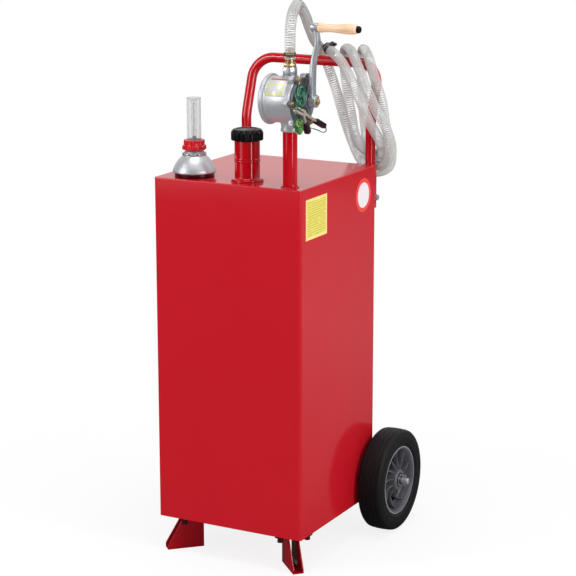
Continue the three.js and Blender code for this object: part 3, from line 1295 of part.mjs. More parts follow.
// Wheels run free on a plain axle that a welded carrier holds behind the tank.
function wheels() {
  const ear = (side) => {
    const x = side > 0 ? CARRIER_SPAN / 2 - CARRIER_SHEET : -CARRIER_SPAN / 2;
    const reach = block(
      [x, TANK_BACK + SEAT, AXLE_HEIGHT - CARRIER_EAR_RADIUS],
      [x + CARRIER_SHEET, AXLE_Y, AXLE_HEIGHT + CARRIER_EAR_RADIUS],
    );
    const end = alongX(rod(CARRIER_EAR_RADIUS, CARRIER_SHEET, MEDIUM)).translate(x, AXLE_Y, AXLE_HEIGHT);
    return join(reach, end);
  };
  const back = block(
    [-CARRIER_SPAN / 2, TANK_BACK + SEAT, AXLE_HEIGHT - CARRIER_HEIGHT / 2],
    [CARRIER_SPAN / 2, TANK_BACK + SEAT + CARRIER_SHEET, AXLE_HEIGHT + CARRIER_HEIGHT / 2],
  );
  const axleHole = alongX(rod(AXLE_RADIUS + SEAT, CARRIER_SPAN + 2 * OVERRUN, MEDIUM)).translate(
    -CARRIER_SPAN / 2 - OVERRUN,
    AXLE_Y,
    AXLE_HEIGHT,
  );
  add("axle_carrier", "redPaint", cut(join(back, ear(-1), ear(1)), axleHole));

  const wheelMiddle = WHEEL_INNER + WHEEL_WIDTH / 2;
  const cotterX = WHEEL_INNER + WHEEL_WIDTH + (AXLE_END - WHEEL_INNER - WHEEL_WIDTH) / 2;
  const axle = turned([
    [0, -AXLE_END],
    [AXLE_RADIUS - AXLE_ROUND, -AXLE_END],
    [AXLE_RADIUS, -AXLE_END + AXLE_ROUND],
    [AXLE_RADIUS, AXLE_END - AXLE_ROUND],
    [AXLE_RADIUS - AXLE_ROUND, AXLE_END],
    [0, AXLE_END],
  ], MEDIUM);
  const cotterHoles = [-1, 1].map((side) =>
    rod(COTTER_RADIUS + SEAT, 3 * AXLE_RADIUS, FEW).translate(side * cotterX, 0, -1.5 * AXLE_RADIUS),
  );
  const placed = cut(alongX(axle), ...cotterHoles).translate(0, AXLE_Y, AXLE_HEIGHT);
  add("axle", "steel", placed);

  const half = WHEEL_WIDTH / 2;
  const bead = RIM_RADIUS + SEAT;
  const seatHalf = TYRE_BEAD_WIDTH / 2;
  const grooves = Array.from({ length: Math.floor((WHEEL_WIDTH - 2 * TYRE_SHOULDER) / TREAD_PITCH) + 1 });
  const span = (grooves.length - 1) * TREAD_PITCH;
  const tread = grooves.flatMap((_, i) => {
    const middle = -span / 2 + i * TREAD_PITCH;
    const crown = WHEEL_RADIUS - TYRE_CROWN * ((2 * middle) / WHEEL_WIDTH) ** 2;
    return [
      [crown, middle - TREAD_GROOVE / 2],
      [crown - TREAD_GROOVE_DEPTH, middle],
      [crown, middle + TREAD_GROOVE / 2],
    ];
  });
  const tyreProfile = [
    [bead, -seatHalf],
    [bead + TYRE_SHOULDER, -half],
    [WHEEL_RADIUS - 2 * TYRE_SHOULDER, -half],
    [WHEEL_RADIUS - TYRE_CROWN, -half + TYRE_SHOULDER / 2],
    ...tread,
    [WHEEL_RADIUS - TYRE_CROWN, half - TYRE_SHOULDER / 2],
    [WHEEL_RADIUS - 2 * TYRE_SHOULDER, half],
    [bead + TYRE_SHOULDER, half],
    [bead, seatHalf],
  ];
  const barrel = RIM_RADIUS - RIM_WALL;
  const rimHalf = RIM_WIDTH / 2;
  const hubHalf = RIM_HUB_LENGTH / 2;
  const bushBore = WHEEL_BUSH_RADIUS + SEAT;
  const spoke = (turn) => {
    const rows = Array.from({ length: SPOKE_STEPS + 1 }, (_, i) => {
      const share = i / SPOKE_STEPS;
      const radius = RIM_HUB_RADIUS - OVERRUN + (barrel - RIM_HUB_RADIUS + 2 * OVERRUN) * share;
      return [radius, turn + SPOKE_SWEEP * share ** 1.5];
    });
    const edge = (offset) =>
      rows.map(([radius, angle]) => {
        const across = angle + offset / radius;
        return [radius * Math.cos(across), radius * Math.sin(across)];
      });
    const outline = [...edge(-SPOKE_THICKNESS / 2), ...edge(SPOKE_THICKNESS / 2).reverse()];
    return extruded(outlineOf(outline), SPOKE_DEPTH);
  };
  const spokes = Array.from({ length: SPOKES }, (_, i) => spoke((2 * Math.PI * i) / SPOKES));
  const rim = join(
    pipe(RIM_RADIUS, barrel, RIM_WIDTH, FINE).translate(0, 0, -rimHalf),
    pipe(RIM_HUB_RADIUS, bushBore, RIM_HUB_LENGTH, ROUND).translate(0, 0, -hubHalf),
    pipe(barrel + SEAT, RIM_HUB_RADIUS - SEAT, RIM_WEB, FINE).translate(0, 0, -RIM_WEB),
    ...spokes.map((piece) => piece.translate(0, 0, -SEAT)),
  );
  const bush = pipe(WHEEL_BUSH_RADIUS, AXLE_RADIUS + RUNNING, RIM_HUB_LENGTH + 2 * SEAT, MEDIUM);
  for (const [name, side] of [["left", -1], ["right", 1]]) {
    const place = (geometry) =>
      alongX(geometry).scale(side, 1, 1).translate(side * wheelMiddle, AXLE_Y, AXLE_HEIGHT);
    const facing = (geometry) => welded(place(geometry));
    add(`tyre_${name}`, "rubber", facing(turned(tyreProfile, FINE)));
    add(`rim_${name}`, "greyPlastic", facing(rim.clone()));
    add(`wheel_bush_${name}`, "blackPlastic", facing(bush.clone().translate(0, 0, -hubHalf - SEAT)));
  }
}

// Clamp: two levers on one pin, flat in the plane behind the crank
function bar(from, to, width, thickness) {
  const [dy, dz] = [to[0] - from[0], to[1] - from[1]];
  const piece = block([-thickness / 2, 0, -width / 2], [thickness / 2, Math.hypot(dy, dz), width / 2]);
  return piece.rotateX(Math.atan2(dz, dy)).translate(CLAMP_X, from[0], from[1]);
}

function along(from, to, share) {
  return [from[0] + (to[0] - from[0]) * share, from[1] + (to[1] - from[1]) * share];
}

function clampLever(side, end, barThickness, ...knuckle) {
  const length = CLAMP_JAW_LENGTH;
  const lip = EARTH_TAB_THICKNESS / 2 + SEAT;
  const outline = [
    [0, lip],
    [length, lip],
    [length, CLAMP_CHEEK_RADIUS],
    [length * CLAMP_JAW_SHARE, CLAMP_CHEEK_RADIUS],
    [0, CLAMP_TIP],
  ];
  const shape = outlineOf(outline.map(([a, b]) => [a, side * b]));
  const jaw = extruded(shape, CLAMP_WIDTH).translate(0, 0, -CLAMP_WIDTH / 2);
  jaw.rotateY(Math.PI / 2).rotateX(Math.PI / 2).rotateX(CLAMP_JAW_TURN);
  jaw.translate(CLAMP_X, CLAMP_JAW[0], CLAMP_JAW[1]);
  const gripFrom = along(CLAMP_PIVOT, end, 1 - CLAMP_GRIP_SHARE);
  return join(
    jaw,
    ...knuckle,
    bar(CLAMP_PIVOT, end, CLAMP_BAR, barThickness),
    bar(gripFrom, end, CLAMP_GRIP, CLAMP_GRIP),
  );
}

function clamp() {
  const [y, z] = CLAMP_PIVOT;
  const disc = (from, to, radius) =>
    alongX(rod(radius, to - from, MEDIUM)).translate(CLAMP_X + from, y, z);
  const half = CLAMP_WIDTH / 2;
  const core = half - CLAMP_CHEEK;
  const pinHole = disc(-CLAMP_WIDTH, CLAMP_WIDTH, CLAMP_PIN_RADIUS + SEAT);
  // The lower jaw and the short handle are one lever, which turns between the other's cheeks.
  const knuckle = disc(-core, core, CLAMP_CHEEK_RADIUS);
  const cheeks = disc(-half, half, CLAMP_CHEEK_RADIUS);
  const rootEnd = reached(CLAMP_PIVOT, CLAMP_ROOM + CLAMP_CHEEK, CLAMP_LONG_TURN);
  const root = bar(CLAMP_PIVOT, rootEnd, CLAMP_BAR, CLAMP_WIDTH);
  const short = clampLever(-1, CLAMP_SHORT_END, 2 * core, knuckle);
  const long = clampLever(1, CLAMP_LONG_END, CLAMP_BAR_THICKNESS, cheeks, root);
  const clear = CLAMP_CHEEK_RADIUS + 2 * RUNNING;
  const shortRoom = disc(-core - SEAT, core + SEAT, CLAMP_ROOM);
  const longRoom = [disc(-CLAMP_WIDTH, -core, clear), disc(core, CLAMP_WIDTH, clear)];
  add("clamp_short_lever", "steel", cut(short, ...longRoom, pinHole));
  add("clamp_long_lever", "steel", cut(long, shortRoom, pinHole));
  add("clamp_pin", "steel", disc(-half, half, CLAMP_PIN_RADIUS));
}

// Hose: it arches back from the barb, goes down behind the handle and hangs on it in three loops,
// and its free end lies on the bar.
const HOSE_SIDES = 8;
const HOSE_BORE_SIDES = 6;
const HOSE_STEPS = 76;
const HOSE_STOPS = [
  [154.5, -168.5, 1180],
  [153.5, -164, 1217],
  [149, -147, 1244],
  [140, -115, 1259],
  [123, -70, 1260],
  [104, -18, 1247],
  [82, 45, 1222],
  [57, 112, 1189],
  [34, 182, 1151],
  [17, 232, 1133],
  [9, 278, 1109],
  [16, 304, 1057],
  [32, 314, 1001],
  [49, 316, 944],
  [73, 312, 890],
  [105, 300, 842],
  [150, 279, 817],
  [200, 266, 835],
  [215, 248, 890],
  [206, 231, 946],
  [200, 222, 1005],
  [183, 216, 1060],
  [157, 234, 1108],
  [122, 275, 1121],
  [103, 306, 1068],
  [102, 313, 1010],
  [109, 309, 951],
  [122, 300, 894],
  [146, 272, 849],
  [189, 240, 841],
  [226, 211, 873],
  [227, 198, 933],
  [199, 191, 987],
  [172, 192, 1040],
  [141, 209, 1087],
  [106, 240, 1120],
  [69, 281, 1116],
  [55, 308, 1071],
  [60, 313, 1013],
  [75, 306, 956],
  [96, 287, 905],
  [136, 258, 876],
  [189, 240, 869],
  [203, 208, 906],
  [185, 184, 957],
  [160, 181, 1010],
  [129, 192, 1059],
  [91, 214, 1098],
  [43, 236, 1126],
];

function hose() {
  const stops = HOSE_STOPS.map((stop) => new THREE.Vector3(...stop));
  stops.unshift(new THREE.Vector3(RISER_X, PUMP_Y, HOSE_START));
  const route = new THREE.CatmullRomCurve3(stops).getSpacedPoints(HOSE_STEPS);
  const section = roundSection(HOSE_SIDES, HOSE_RADIUS, HOSE_BORE_SIDES, HOSE_BORE);
  add("hose", "clearHose", sweptThrough(route, section));
  console.log(`hose: least gap ${leastGap(route, 2 * HOSE_RADIUS, 3).toFixed(2)}`);

  const end = route[HOSE_STEPS];
  const out = end.clone().sub(route[HOSE_STEPS - 1]).normalize();
  const facing = new THREE.Quaternion().setFromUnitVectors(UP, out);
  const atEnd = (geometry) => geometry.applyQuaternion(facing).translate(end.x, end.y, end.z);
  const spout = turned([
    [BARB_BORE, -HOSE_END_LENGTH + HOSE_END_LIP],
    [BARB_RADIUS, -HOSE_END_LENGTH + HOSE_END_LIP],
    [BARB_RADIUS, SEAT],
    [HOSE_END_LIP_RADIUS, SEAT],
    [HOSE_END_LIP_RADIUS, HOSE_END_LIP],
    [BARB_BORE, HOSE_END_LIP],
  ], MEDIUM);
  add("hose_end_spout", "blackPlastic", atEnd(spout));
  const endClip = clip().rotateZ(END_CLIP_TURN).translate(0, 0, -CLIP_FROM_HOSE_END - CLIP_WIDTH);
  add("end_hose_clip", "steel", atEnd(endClip));
}

// Earthing wire: from the cover's upper bolt into the hank, past the jaws into two loose loops and
// on to the end of the clamp's long handle
const WIRE_SIDES = 5;
const WIRE_PITCH = 3.05;
const WIRE_LOOP_STEPS = 14;
const HANK_LAYERS = 4;
const HANK_LOOPS_EACH = 2;
const HANK_MIDDLE = [-206, 1068];
const HANK_X = 193.7;
const HANK_HALF_WIDTH = 15;
const HANK_STRETCH = 7; // added to the half height of each loop
const HANK_TURNS = HANK_LAYERS * HANK_LOOPS_EACH + 1 / 4;
const LOOSE_MIDDLE = [-203.5, 999];
const LOOSE_X = [200.4, 193.6];
const LOOSE_HALF_WIDTH = 14.5;
const LOOSE_STRETCH = 2.5;
const LOOSE_TURNS = 2.25;
const WIRE_START = [
  [193, -198.5, 1098.4],
  [193, -198.7, 1095.6],
  [193.4, -200.5, 1092],
];
const WIRE_PAST_JAWS = [
  [202.9, -225.2, 1057],
  [202.6, -231, 1047],
  [202, -234.3, 1036],
  [201.4, -233.5, 1024],
  [200.9, -228, 1014],
];
const WIRE_TAIL = [
  [191.2, -194, 981.5],
  [189.4, -183, 983.8],
  [189, -163, 986.9],
  [190.6, -140, 987],
  [194, -125, 983.2],
  [197.2, -107, 976.8],
  [198, -90, 971.2],
  [198, -77, 970],
  [198, -71.6, 973.2],
];

function loop(middle, halfWidth, stretch, x, angle) {
  const y = middle[0] + halfWidth * Math.cos(angle);
  return new THREE.Vector3(x, y, middle[1] + (halfWidth + stretch) * Math.sin(angle));
}

function hankPoint(turns) {
  const layer = Math.min(Math.floor(turns / HANK_LOOPS_EACH), HANK_LAYERS - 1);
  const within = turns - layer * HANK_LOOPS_EACH;
  const drawnIn = layer % 2 ? HANK_LOOPS_EACH - within : within;
  let x = HANK_X;
  for (let climb = 1; climb < HANK_LAYERS; climb += 1) {
    const share = 2 * (turns - climb * HANK_LOOPS_EACH) + 1 / 2;
    x += WIRE_PITCH * THREE.MathUtils.clamp(share, 0, 1);
  }
  const angle = Math.PI / 2 + 2 * Math.PI * turns;
  return loop(HANK_MIDDLE, HANK_HALF_WIDTH - WIRE_PITCH * drawnIn, HANK_STRETCH, x, angle);
}

function loosePoint(turns) {
  const x = THREE.MathUtils.lerp(LOOSE_X[0], LOOSE_X[1], turns / LOOSE_TURNS);
  return loop(LOOSE_MIDDLE, LOOSE_HALF_WIDTH, LOOSE_STRETCH, x, Math.PI * (1 + 2 * turns));
}

function wound(pointAt, turns) {
  const steps = Math.round(turns * WIRE_LOOP_STEPS);
  return Array.from({ length: steps + 1 }, (_, i) => pointAt((turns * i) / steps));
}

// Points between two wound stretches that leave one and meet the next in line
function bridged(before, stops, after) {
  const through = [...before.slice(-2), ...stops, ...after.slice(0, 2)];
  const curve = new THREE.CatmullRomCurve3(through);
  const last = through.length - 1;
  const points = [];
  for (let i = 3; i < 2 * (last - 1); i += 1) points.push(curve.getPoint(i / 2 / last));
  return points;
}

function wire() {
  const vectors = (stops) => stops.map((stop) => new THREE.Vector3(...stop));
  const hank = wound(hankPoint, HANK_TURNS);
  const loose = wound(loosePoint, LOOSE_TURNS);
  const start = vectors(WIRE_START);
  const end = new THREE.Vector3(CLAMP_X, ...CLAMP_LONG_END);
  const [dy, dz] = [CLAMP_LONG_END[0] - CLAMP_PIVOT[0], CLAMP_LONG_END[1] - CLAMP_PIVOT[1]];
  const out = new THREE.Vector3(0, dy, dz).normalize();
  const finish = [4 * WIRE_RADIUS, SEAT].map((reach) => end.clone().addScaledVector(out, reach));
  const route = [
    ...start,
    ...hank,
    ...bridged(hank, vectors(WIRE_PAST_JAWS), loose),
    ...loose,
    ...bridged(loose, vectors(WIRE_TAIL), finish),
    ...finish,
  ];
  add("ground_wire", "wire", sweptThrough(route, roundSection(WIRE_SIDES, WIRE_RADIUS)));
  console.log(`wire: least gap ${leastGap(route, 2 * WIRE_RADIUS, 6).toFixed(2)}`);
}

hose();
wire();
handle();
wheels();
clamp();
tank();
feet();
filler();
gauge();
riser();
pumpBody();
pumpWorks();
crank();
grip();
outlet();

export default caddy;
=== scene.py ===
"""A red fuel caddy: sheet-metal tank with a filler, a float gauge, a rotary hand pump, its hose on
the push handle, an earthing wire, two folded feet and two wheels. Shapes are worked out in
millimetres in the part's own frame and made in metres."""

from math import atan2, cos, exp, hypot, pi, radians, sin, sqrt, tan

import bmesh
import bpy
from mathutils import Matrix, Vector


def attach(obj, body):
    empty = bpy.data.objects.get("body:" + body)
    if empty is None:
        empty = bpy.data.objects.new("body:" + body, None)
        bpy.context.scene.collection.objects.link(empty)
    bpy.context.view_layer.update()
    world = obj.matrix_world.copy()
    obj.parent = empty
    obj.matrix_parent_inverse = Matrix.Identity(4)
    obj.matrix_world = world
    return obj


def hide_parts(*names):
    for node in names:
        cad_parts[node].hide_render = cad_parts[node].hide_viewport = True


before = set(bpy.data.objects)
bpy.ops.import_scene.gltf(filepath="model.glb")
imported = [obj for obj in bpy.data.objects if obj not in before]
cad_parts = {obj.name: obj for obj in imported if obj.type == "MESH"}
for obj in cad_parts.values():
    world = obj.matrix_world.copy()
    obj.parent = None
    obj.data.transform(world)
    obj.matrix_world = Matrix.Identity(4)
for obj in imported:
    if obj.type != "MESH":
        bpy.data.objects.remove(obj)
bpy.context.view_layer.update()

MM = 0.001
FULL = 2 * pi
QUARTER = pi / 2
ROUND, MID, SMALL = 96, 64, 40  # steps of turned shapes by their size
SIDES = {"left": -1, "right": 1}

TANK_SIDE = 197.5
TANK_TOP = 850
FLOOR = -88
FILLER = (28, -144.5)
GAUGE = (-119, -139.5)
RISER = (154.5, -168.5)
PUMP_HEIGHT = 1053
CRANK_REACH = 168
COVER_FACE = 190.8
WELD_TOP = 850.3
HEAD_BASE = 857.6
NUT_BASE = 910.9
GLASS_BASE = 911.2
SEAM = 902.3
CAP_TOP = 974.6
AXLE = (212.5, 42)
WHEEL_MIDDLE = 238
LEG_X = 175
LEG_Y = 212.5
BAR_Y = 259.5
LEG_BOLT = (LEG_Y, 766)
CLAMP_X = 198
CLAMP_PIVOT = (-187.5, 1028)
CLAMP_JAW = (-226, 1042.5)
CLAMP_LONG_END = (-82, 984)
CLAMP_SHORT_END = (-163, 979)


def linear(colour):
    """A screen colour of 0 to 255 as the shader's own numbers."""
    return [
        value / 12.92 if value <= 0.04045 else ((value + 0.055) / 1.055) ** 2.4
        for value in (part / 255 for part in colour)
    ]


def maths(operation, backwards=False):
    """A method of Wire that puts its values through a Math node."""

    def method(*values):
        inputs = dict(enumerate(reversed(values) if backwards else values))
        return values[0].nodes.node("Math", inputs, {"operation": operation})

    return method


class Wire:
    """A shader value that sums and products can be written with."""

    def __init__(self, nodes, socket):
        self.nodes, self.socket = nodes, socket

    __add__ = __radd__ = maths("ADD")
    __mul__ = __rmul__ = maths("MULTIPLY")
    __sub__ = maths("SUBTRACT")
    __rsub__ = maths("SUBTRACT", backwards=True)
    __truediv__ = maths("DIVIDE")
    __pow__ = maths("POWER")
    __gt__ = maths("GREATER_THAN")
    __lt__ = maths("LESS_THAN")
    part = maths("FRACT")
    size = maths("ABSOLUTE")
    most = maths("MAXIMUM")


class Nodes:
    """A node tree and the few nodes that most trees here share. Colours are screen colours."""

    def __init__(self, tree):
        self.tree = tree

    def feed(self, socket, value):
        if isinstance(value, Wire):
            self.tree.links.new(value.socket, socket)
        elif isinstance(value, tuple) and len(socket.default_value) == 4:
            socket.default_value = (*linear(value), 1)
        else:
            socket.default_value = value

    def node(self, kind, inputs=None, settings=None, output=0):
        node = self.tree.nodes.new("ShaderNode" + kind)
        for key, value in (settings or {}).items():
            setattr(node, key, value)
        for key, value in (inputs or {}).items():
            self.feed(node.inputs[key], value)
        return Wire(self, node.outputs[output])

    def ray(self, kind):
        return self.node("LightPath", output=f"Is {kind} Ray")

    def place(self, stretch=(1, 1, 1), source="Object", shift=(0, 0, 0)):
        where = self.node("TexCoord", output=source)
        return self.node("Mapping", {"Vector": where, "Scale": stretch, "Location": shift})

    def axes(self, where):
        outputs = self.node("SeparateXYZ", {0: where}).socket.node.outputs
        return [Wire(self, output) for output in outputs]

    def noise(self, scale, detail=3, stretch=(1, 1, 1), roughness=0.5):
        inputs = {"Vector": self.place(stretch), "Scale": scale, "Detail": detail}
        return self.node("TexNoise", {**inputs, "Roughness": roughness})

    def mixed(self, share, first, second):
        settings = {"data_type": "RGBA", "clamp_factor": True}
        return self.node("Mix", {0: share, 6: first, 7: second}, settings, 2)

    def ranged(self, value, low, high, least, most=1.0, kind="LINEAR"):
        inputs = dict(enumerate((value, low, high, least, most)))
        return self.node("MapRange", inputs, {"interpolation_type": kind})

    def ramp(self, value, *stops):
        wire = self.node("ValToRGB", {"Fac": value})
        elements = wire.socket.node.color_ramp.elements
        while len(elements) < len(stops):
            elements.new(0.5)
        for element, (place, colour) in zip(elements, stops):
            element.position, element.color = place, (*linear(colour), 1)
        return wire

    def relief(self, height, strength, depth):
        return self.node("Bump", {"Height": height, "Strength": strength, "Distance": depth})


class Finish(Nodes):
    """A material, with the record's slot for the pieces that wear it."""

    def __init__(self, name, slot=None, **sockets):
        self.material = bpy.data.materials.new(name)
        self.material.use_nodes = True
        super().__init__(self.material.node_tree)
        self.shader = self.tree.nodes["Principled BSDF"]
        self.slot = slot
        self.coat(**sockets)

    def coat(self, **sockets):
        for key, value in sockets.items():
            self.feed(self.shader.inputs[key.replace("_", " ")], value)
        return self

    def grained(self, light, dark, mottle, roughness, spread, grain, strength, depth):
        return self.coat(
            Base_Color=self.mixed(mottle, dark, light),
            Roughness=roughness + mottle * spread,
            Normal=self.relief(grain, strength, depth),
        )


def enamel(name, low, high, roughness, gloss=0.5):
    """Glossy red paint with the faint orange peel of a sprayed coat."""
    finish = Finish(name, "red_paint", Specular_IOR_Level=gloss)
    sizes = ((4, 2), (60, 4), (420, 2), (16, 1))
    cloud, speck, peel, sag = (finish.noise(scale, detail) for scale, detail in sizes)
    return finish.coat(
        Base_Color=finish.mixed(cloud, low, high),
        Roughness=roughness + speck * 0.03,
        Normal=finish.relief(peel + sag * 2, 0.008, 0.0005),
    )


def cast_metal(name, slot, light, dark, metallic, roughness, grain=0.15):
    """Sand-cast metal: a fine grain and a soft mottle of tone."""
    finish = Finish(name, slot, Metallic=metallic)
    mottle = finish.noise(28, 5, roughness=0.6)
    sand = finish.noise(1400, 2)
    return finish.grained(light, dark, mottle, roughness - 0.06, 0.12, sand, grain, 0.00015)


def bright_metal(name, slot, light, dark, roughness, metallic=1.0):
    """Turned or plated metal with a fine grain."""
    finish = Finish(name, slot, Metallic=metallic)
    lines, stain = finish.noise(160, 4), finish.noise(35, 3)
    return finish.grained(light, dark, stain, roughness, 0.12, lines, 0.06, 0.0001)


def moulded(name, slot, light, dark, roughness, grain=0.2, scale=1200, **more):
    """Moulded plastic or rubber with its fine tool grain."""
    finish = Finish(name, slot, **more)
    cloud, tool = finish.noise(40, 3), finish.noise(scale, 2)
    return finish.grained(light, dark, cloud, roughness - 0.05, 0.1, tool, grain, 0.0003)


def turned_wood():
    """Pale varnished wood with its grain along the grip."""
    finish = Finish("varnished_wood", "wood", Coat_Weight=0.35, Coat_Roughness=0.18)
    grain = finish.noise(95, 5, (0.12, 1, 1), 0.62)
    pores = finish.noise(520, 3, (0.05, 1, 1))
    stops = ((0.3, (204, 160, 124)), (0.5, (226, 188, 154)), (0.7, (238, 208, 180)))
    return finish.coat(
        Base_Color=finish.mixed((pores > 0.6) * 0.4, finish.ramp(grain, *stops), (176, 126, 84)),
        Roughness=0.34 + pores * 0.15,
        Normal=finish.relief(pores + grain, 0.12, 0.0004),
    )


def hose_wall():
    """The clear vinyl wall, denser where it is seen edge on, with a faint glow of painted light."""
    # A faint white emission: painted light standing in for light that passes through the wall.
    painted_glow = {"Emission_Color": (255, 255, 252.75), "Emission_Strength": 0.06}
    finish = Finish("clear_vinyl", "clear_hose", Specular_IOR_Level=0.5, **painted_glow)
    facing = finish.node("LayerWeight", {"Blend": 0.5}, output=1)
    haze = finish.noise(45, 3)
    return finish.coat(
        Base_Color=finish.mixed(haze, (244, 245, 242), (252, 252, 250)),
        Alpha=0.26 + facing**2 * 0.28,
        Roughness=0.1 + haze * 0.08,
    )


def clear_plastic(name, body):
    """Water-clear acrylic, greyer where it is seen edge on, with faint random streaks along its
    length.
    """
    finish = Finish(name, "clear_plastic", Specular_IOR_Level=0.8)
    facing = finish.node("LayerWeight", {"Blend": 0.5}, output=1)
    streaks = finish.noise(90, 1, (1, 1, 0.003))
    return finish.coat(
        Base_Color=finish.mixed(streaks, (182, 183, 184), (214, 215, 215)),
        Alpha=body + streaks * 0.12 + facing**3 * 0.6,
        Roughness=0.04 + streaks * 0.04,
    )


def earth_wire():
    """Green insulation with a stripe that winds slowly round it, yellower down the lead."""
    finish = Finish("green_yellow_insulation", "wire_green")
    along, around, _ = finish.axes(finish.place(source="UV"))
    _, north, height = finish.axes(finish.place())
    stripe = ((around + along * 40).part() < 0.34) * (finish.noise(420, 2) > 0.47)
    shade = finish.noise(300, 2)
    low = finish.ranged(height, 1.035, 1.012, 0.0) * (north < -0.186)
    # The noise darkens the green towards near-black in random patches: painted shade among the
    # wire's strands.
    green = finish.mixed((shade - 0.3) * 2.4, (0, 26, 22), (8, 96, 72))
    ground = finish.mixed(low, green, (16, 92, 46))
    tracer = finish.mixed(low, (96, 164, 134), (160, 200, 96))
    return finish.coat(
        Base_Color=finish.mixed(stripe, ground, tracer), Roughness=0.3 + shade * 0.15
    )


def label_finish(name, roughness, metallic=0.0):
    return Finish(name, Roughness=roughness, Metallic=metallic, Coat_Weight=0.3)


def yellow_panel():
    """A plain yellow panel with a paler margin and rows of ruled lines."""
    finish = label_finish("ruled_yellow_panel", 0.42)
    _, across, up = finish.axes(finish.place((1000, 1000, 1000), shift=(0, 119, -775.5)))
    inner = ((across.size() < 47) * (up.size() < 42)).size()
    ragged = finish.noise(70, 2, (1, 1, 3)) > 0.4
    ruled = ((up / 5.6).part() < 0.46) * inner * ragged
    ground = finish.mixed(inner, (248, 214, 128), (222, 210, 92))
    return finish.coat(Base_Color=finish.mixed(ruled * 0.5, ground, (136, 126, 48)))


def round_badge():
    """A white disc in a plain red ring."""
    finish = label_finish("ringed_white_badge", 0.4)
    _, across, up = finish.axes(finish.place((1000, 1000, 1000), shift=(0, -128.8, -786)))
    reach = (across**2 + up**2) ** 0.5
    white = finish.mixed(finish.noise(90, 2), (220, 212, 216), (230, 224, 227))
    return finish.coat(Base_Color=finish.mixed(reach > 31, white, (226, 58, 52)))


def face_plate():
    """The pump's plate: bare silver with a red bar and a yellow-green frame."""
    finish = label_finish("pump_plate", 0.4, 0.2)
    along, _, _ = finish.axes(finish.place((1000, 1, 1), shift=(-142, 0, 0)))
    _, down, _ = finish.axes(finish.place(source="UV"))
    ground = finish.mixed(finish.noise(80, 2), (196, 198, 202), (214, 215, 219))
    across, drop = (along + 3).size(), (down - 0.66).size()
    field = (across < 21) * (drop < 0.31)
    clear = (across < 15.5) * (drop < 0.2)
    framed = finish.mixed(field * (1 - clear) * 0.8, ground, (212, 214, 112))
    bar = (along.size() < 22) * ((down - 0.08).size() < 0.06)
    return finish.coat(Base_Color=finish.mixed(bar, framed, (196, 72, 52)))


def grey(level, blue=0):
    return (level, level, level + blue)


RED = enamel("red_enamel", (178, 18, 30), (183, 23, 34), 0.11)
# The tubes wear the tank's red paint, made deeper here: painted shade on the round neck, collar,
# riser and handle.
TUBE_SHADE_RED = enamel("tube_enamel_painted_shade", (167, 0, 15), (175, 1, 19), 0.09, 0.75)
# The feet wear the tank's red paint, made darker here: painted shade, as they stand under the tank.
FOOT_SHADE_RED = enamel("foot_enamel_painted_shade", (142, 6, 18), (156, 10, 24), 0.14)
# A near-black copy of the red enamel: painted shade on the gauge's base ring under the dome and on
# the lugs under the tank.
PAINTED_SHADE_RED = enamel("painted_shade_enamel", (58, 0, 7), (68, 1, 10), 0.26, 0.3)
SILVER = cast_metal("cast_silver", "cast_silver", (198, 200, 204), (180, 182, 187), 0.55, 0.38)
DARK = cast_metal("cast_dark", "cast_dark", (108, 111, 117), (80, 83, 90), 0.4, 0.42)
CRANK = cast_metal("cast_crank", "cast_silver", (194, 197, 202), (164, 168, 175), 0.68, 0.25)
HEAD = cast_metal("satin_head", "satin_head", (208, 210, 213), (196, 198, 202), 0.72, 0.42, 0.06)
STEEL = bright_metal("plated_steel", "steel", (214, 215, 218), (184, 186, 190), 0.22, 0.75)
NICKEL = bright_metal("nickel_clamp", "steel", (216, 206, 190), (178, 166, 148), 0.3, 0.6)
BRASS = bright_metal("brass", "brass", (214, 184, 138), (168, 134, 90), 0.2, 0.8)
OLD_BRASS = bright_metal("aged_brass", "steel", (150, 138, 112), (98, 88, 68), 0.26, 0.8)
DARK_STEEL = bright_metal("aged_steel", "steel", (112, 110, 104), (74, 72, 68), 0.32)
BLACK = moulded(
    "black_plastic", "black_plastic", grey(15, 3), grey(9, 2), 0.24, 0.1, Specular_IOR_Level=0.18
)
RED_PLASTIC = moulded(
    "red_plastic", "red_plastic", (204, 10, 28), (182, 3, 20), 0.12, 0.02, Specular_IOR_Level=0.7
)
RIM_GREY = moulded("grey_rim", "grey_plastic", grey(90, 6), grey(72, 6), 0.46, 0.08)
# Near-black and hardly reflecting: painted shade on the floor of the rim's pockets.
POCKET_SHADE = moulded(
    "painted_shade_rim", "grey_plastic", grey(11, 2), grey(7, 2), 0.7, 0.05, Specular_IOR_Level=0.08
)
# A paler grey for a thin ring on the rim's edge: painted highlight.
RIM_EDGE_HIGHLIGHT = moulded("painted_highlight_rim_edge", "grey_plastic", grey(150, 4), grey(134, 4), 0.4, 0.05)
RUBBER = moulded(
    "black_rubber", "tyre", (18, 17, 20), (11, 10, 13), 0.6, 0.1, 900, Specular_IOR_Level=0.26
)
SEALING = moulded("seal_rubber", "rubber", grey(30, 1), grey(22, 1), 0.7)
MAROON = moulded("dark_grip", "black_plastic", (52, 22, 28), (32, 13, 17), 0.34)
WOOD = turned_wood()
VINYL = hose_wall()
CLEAR = clear_plastic("clear_acrylic", 0.1)
CORE = clear_plastic("clear_core", 0.02)
HELIX = moulded("helix_wire", "clear_hose", grey(124, -3), grey(104, -2), 0.4)
TICKS = moulded("tick_ink", None, grey(30, 2), grey(20, 2), 0.5)
# Grey for a thin ring at the sight glass's top edge: painted shade for the edge's darker look.
SIGHT_EDGE_SHADE = moulded("acrylic_edge_painted_shade", "clear_plastic", (150, 151, 152), (128, 129, 130), 0.2)
EARTH = earth_wire()
PANEL = yellow_panel()
BADGE = round_badge()
PLATE = face_plate()


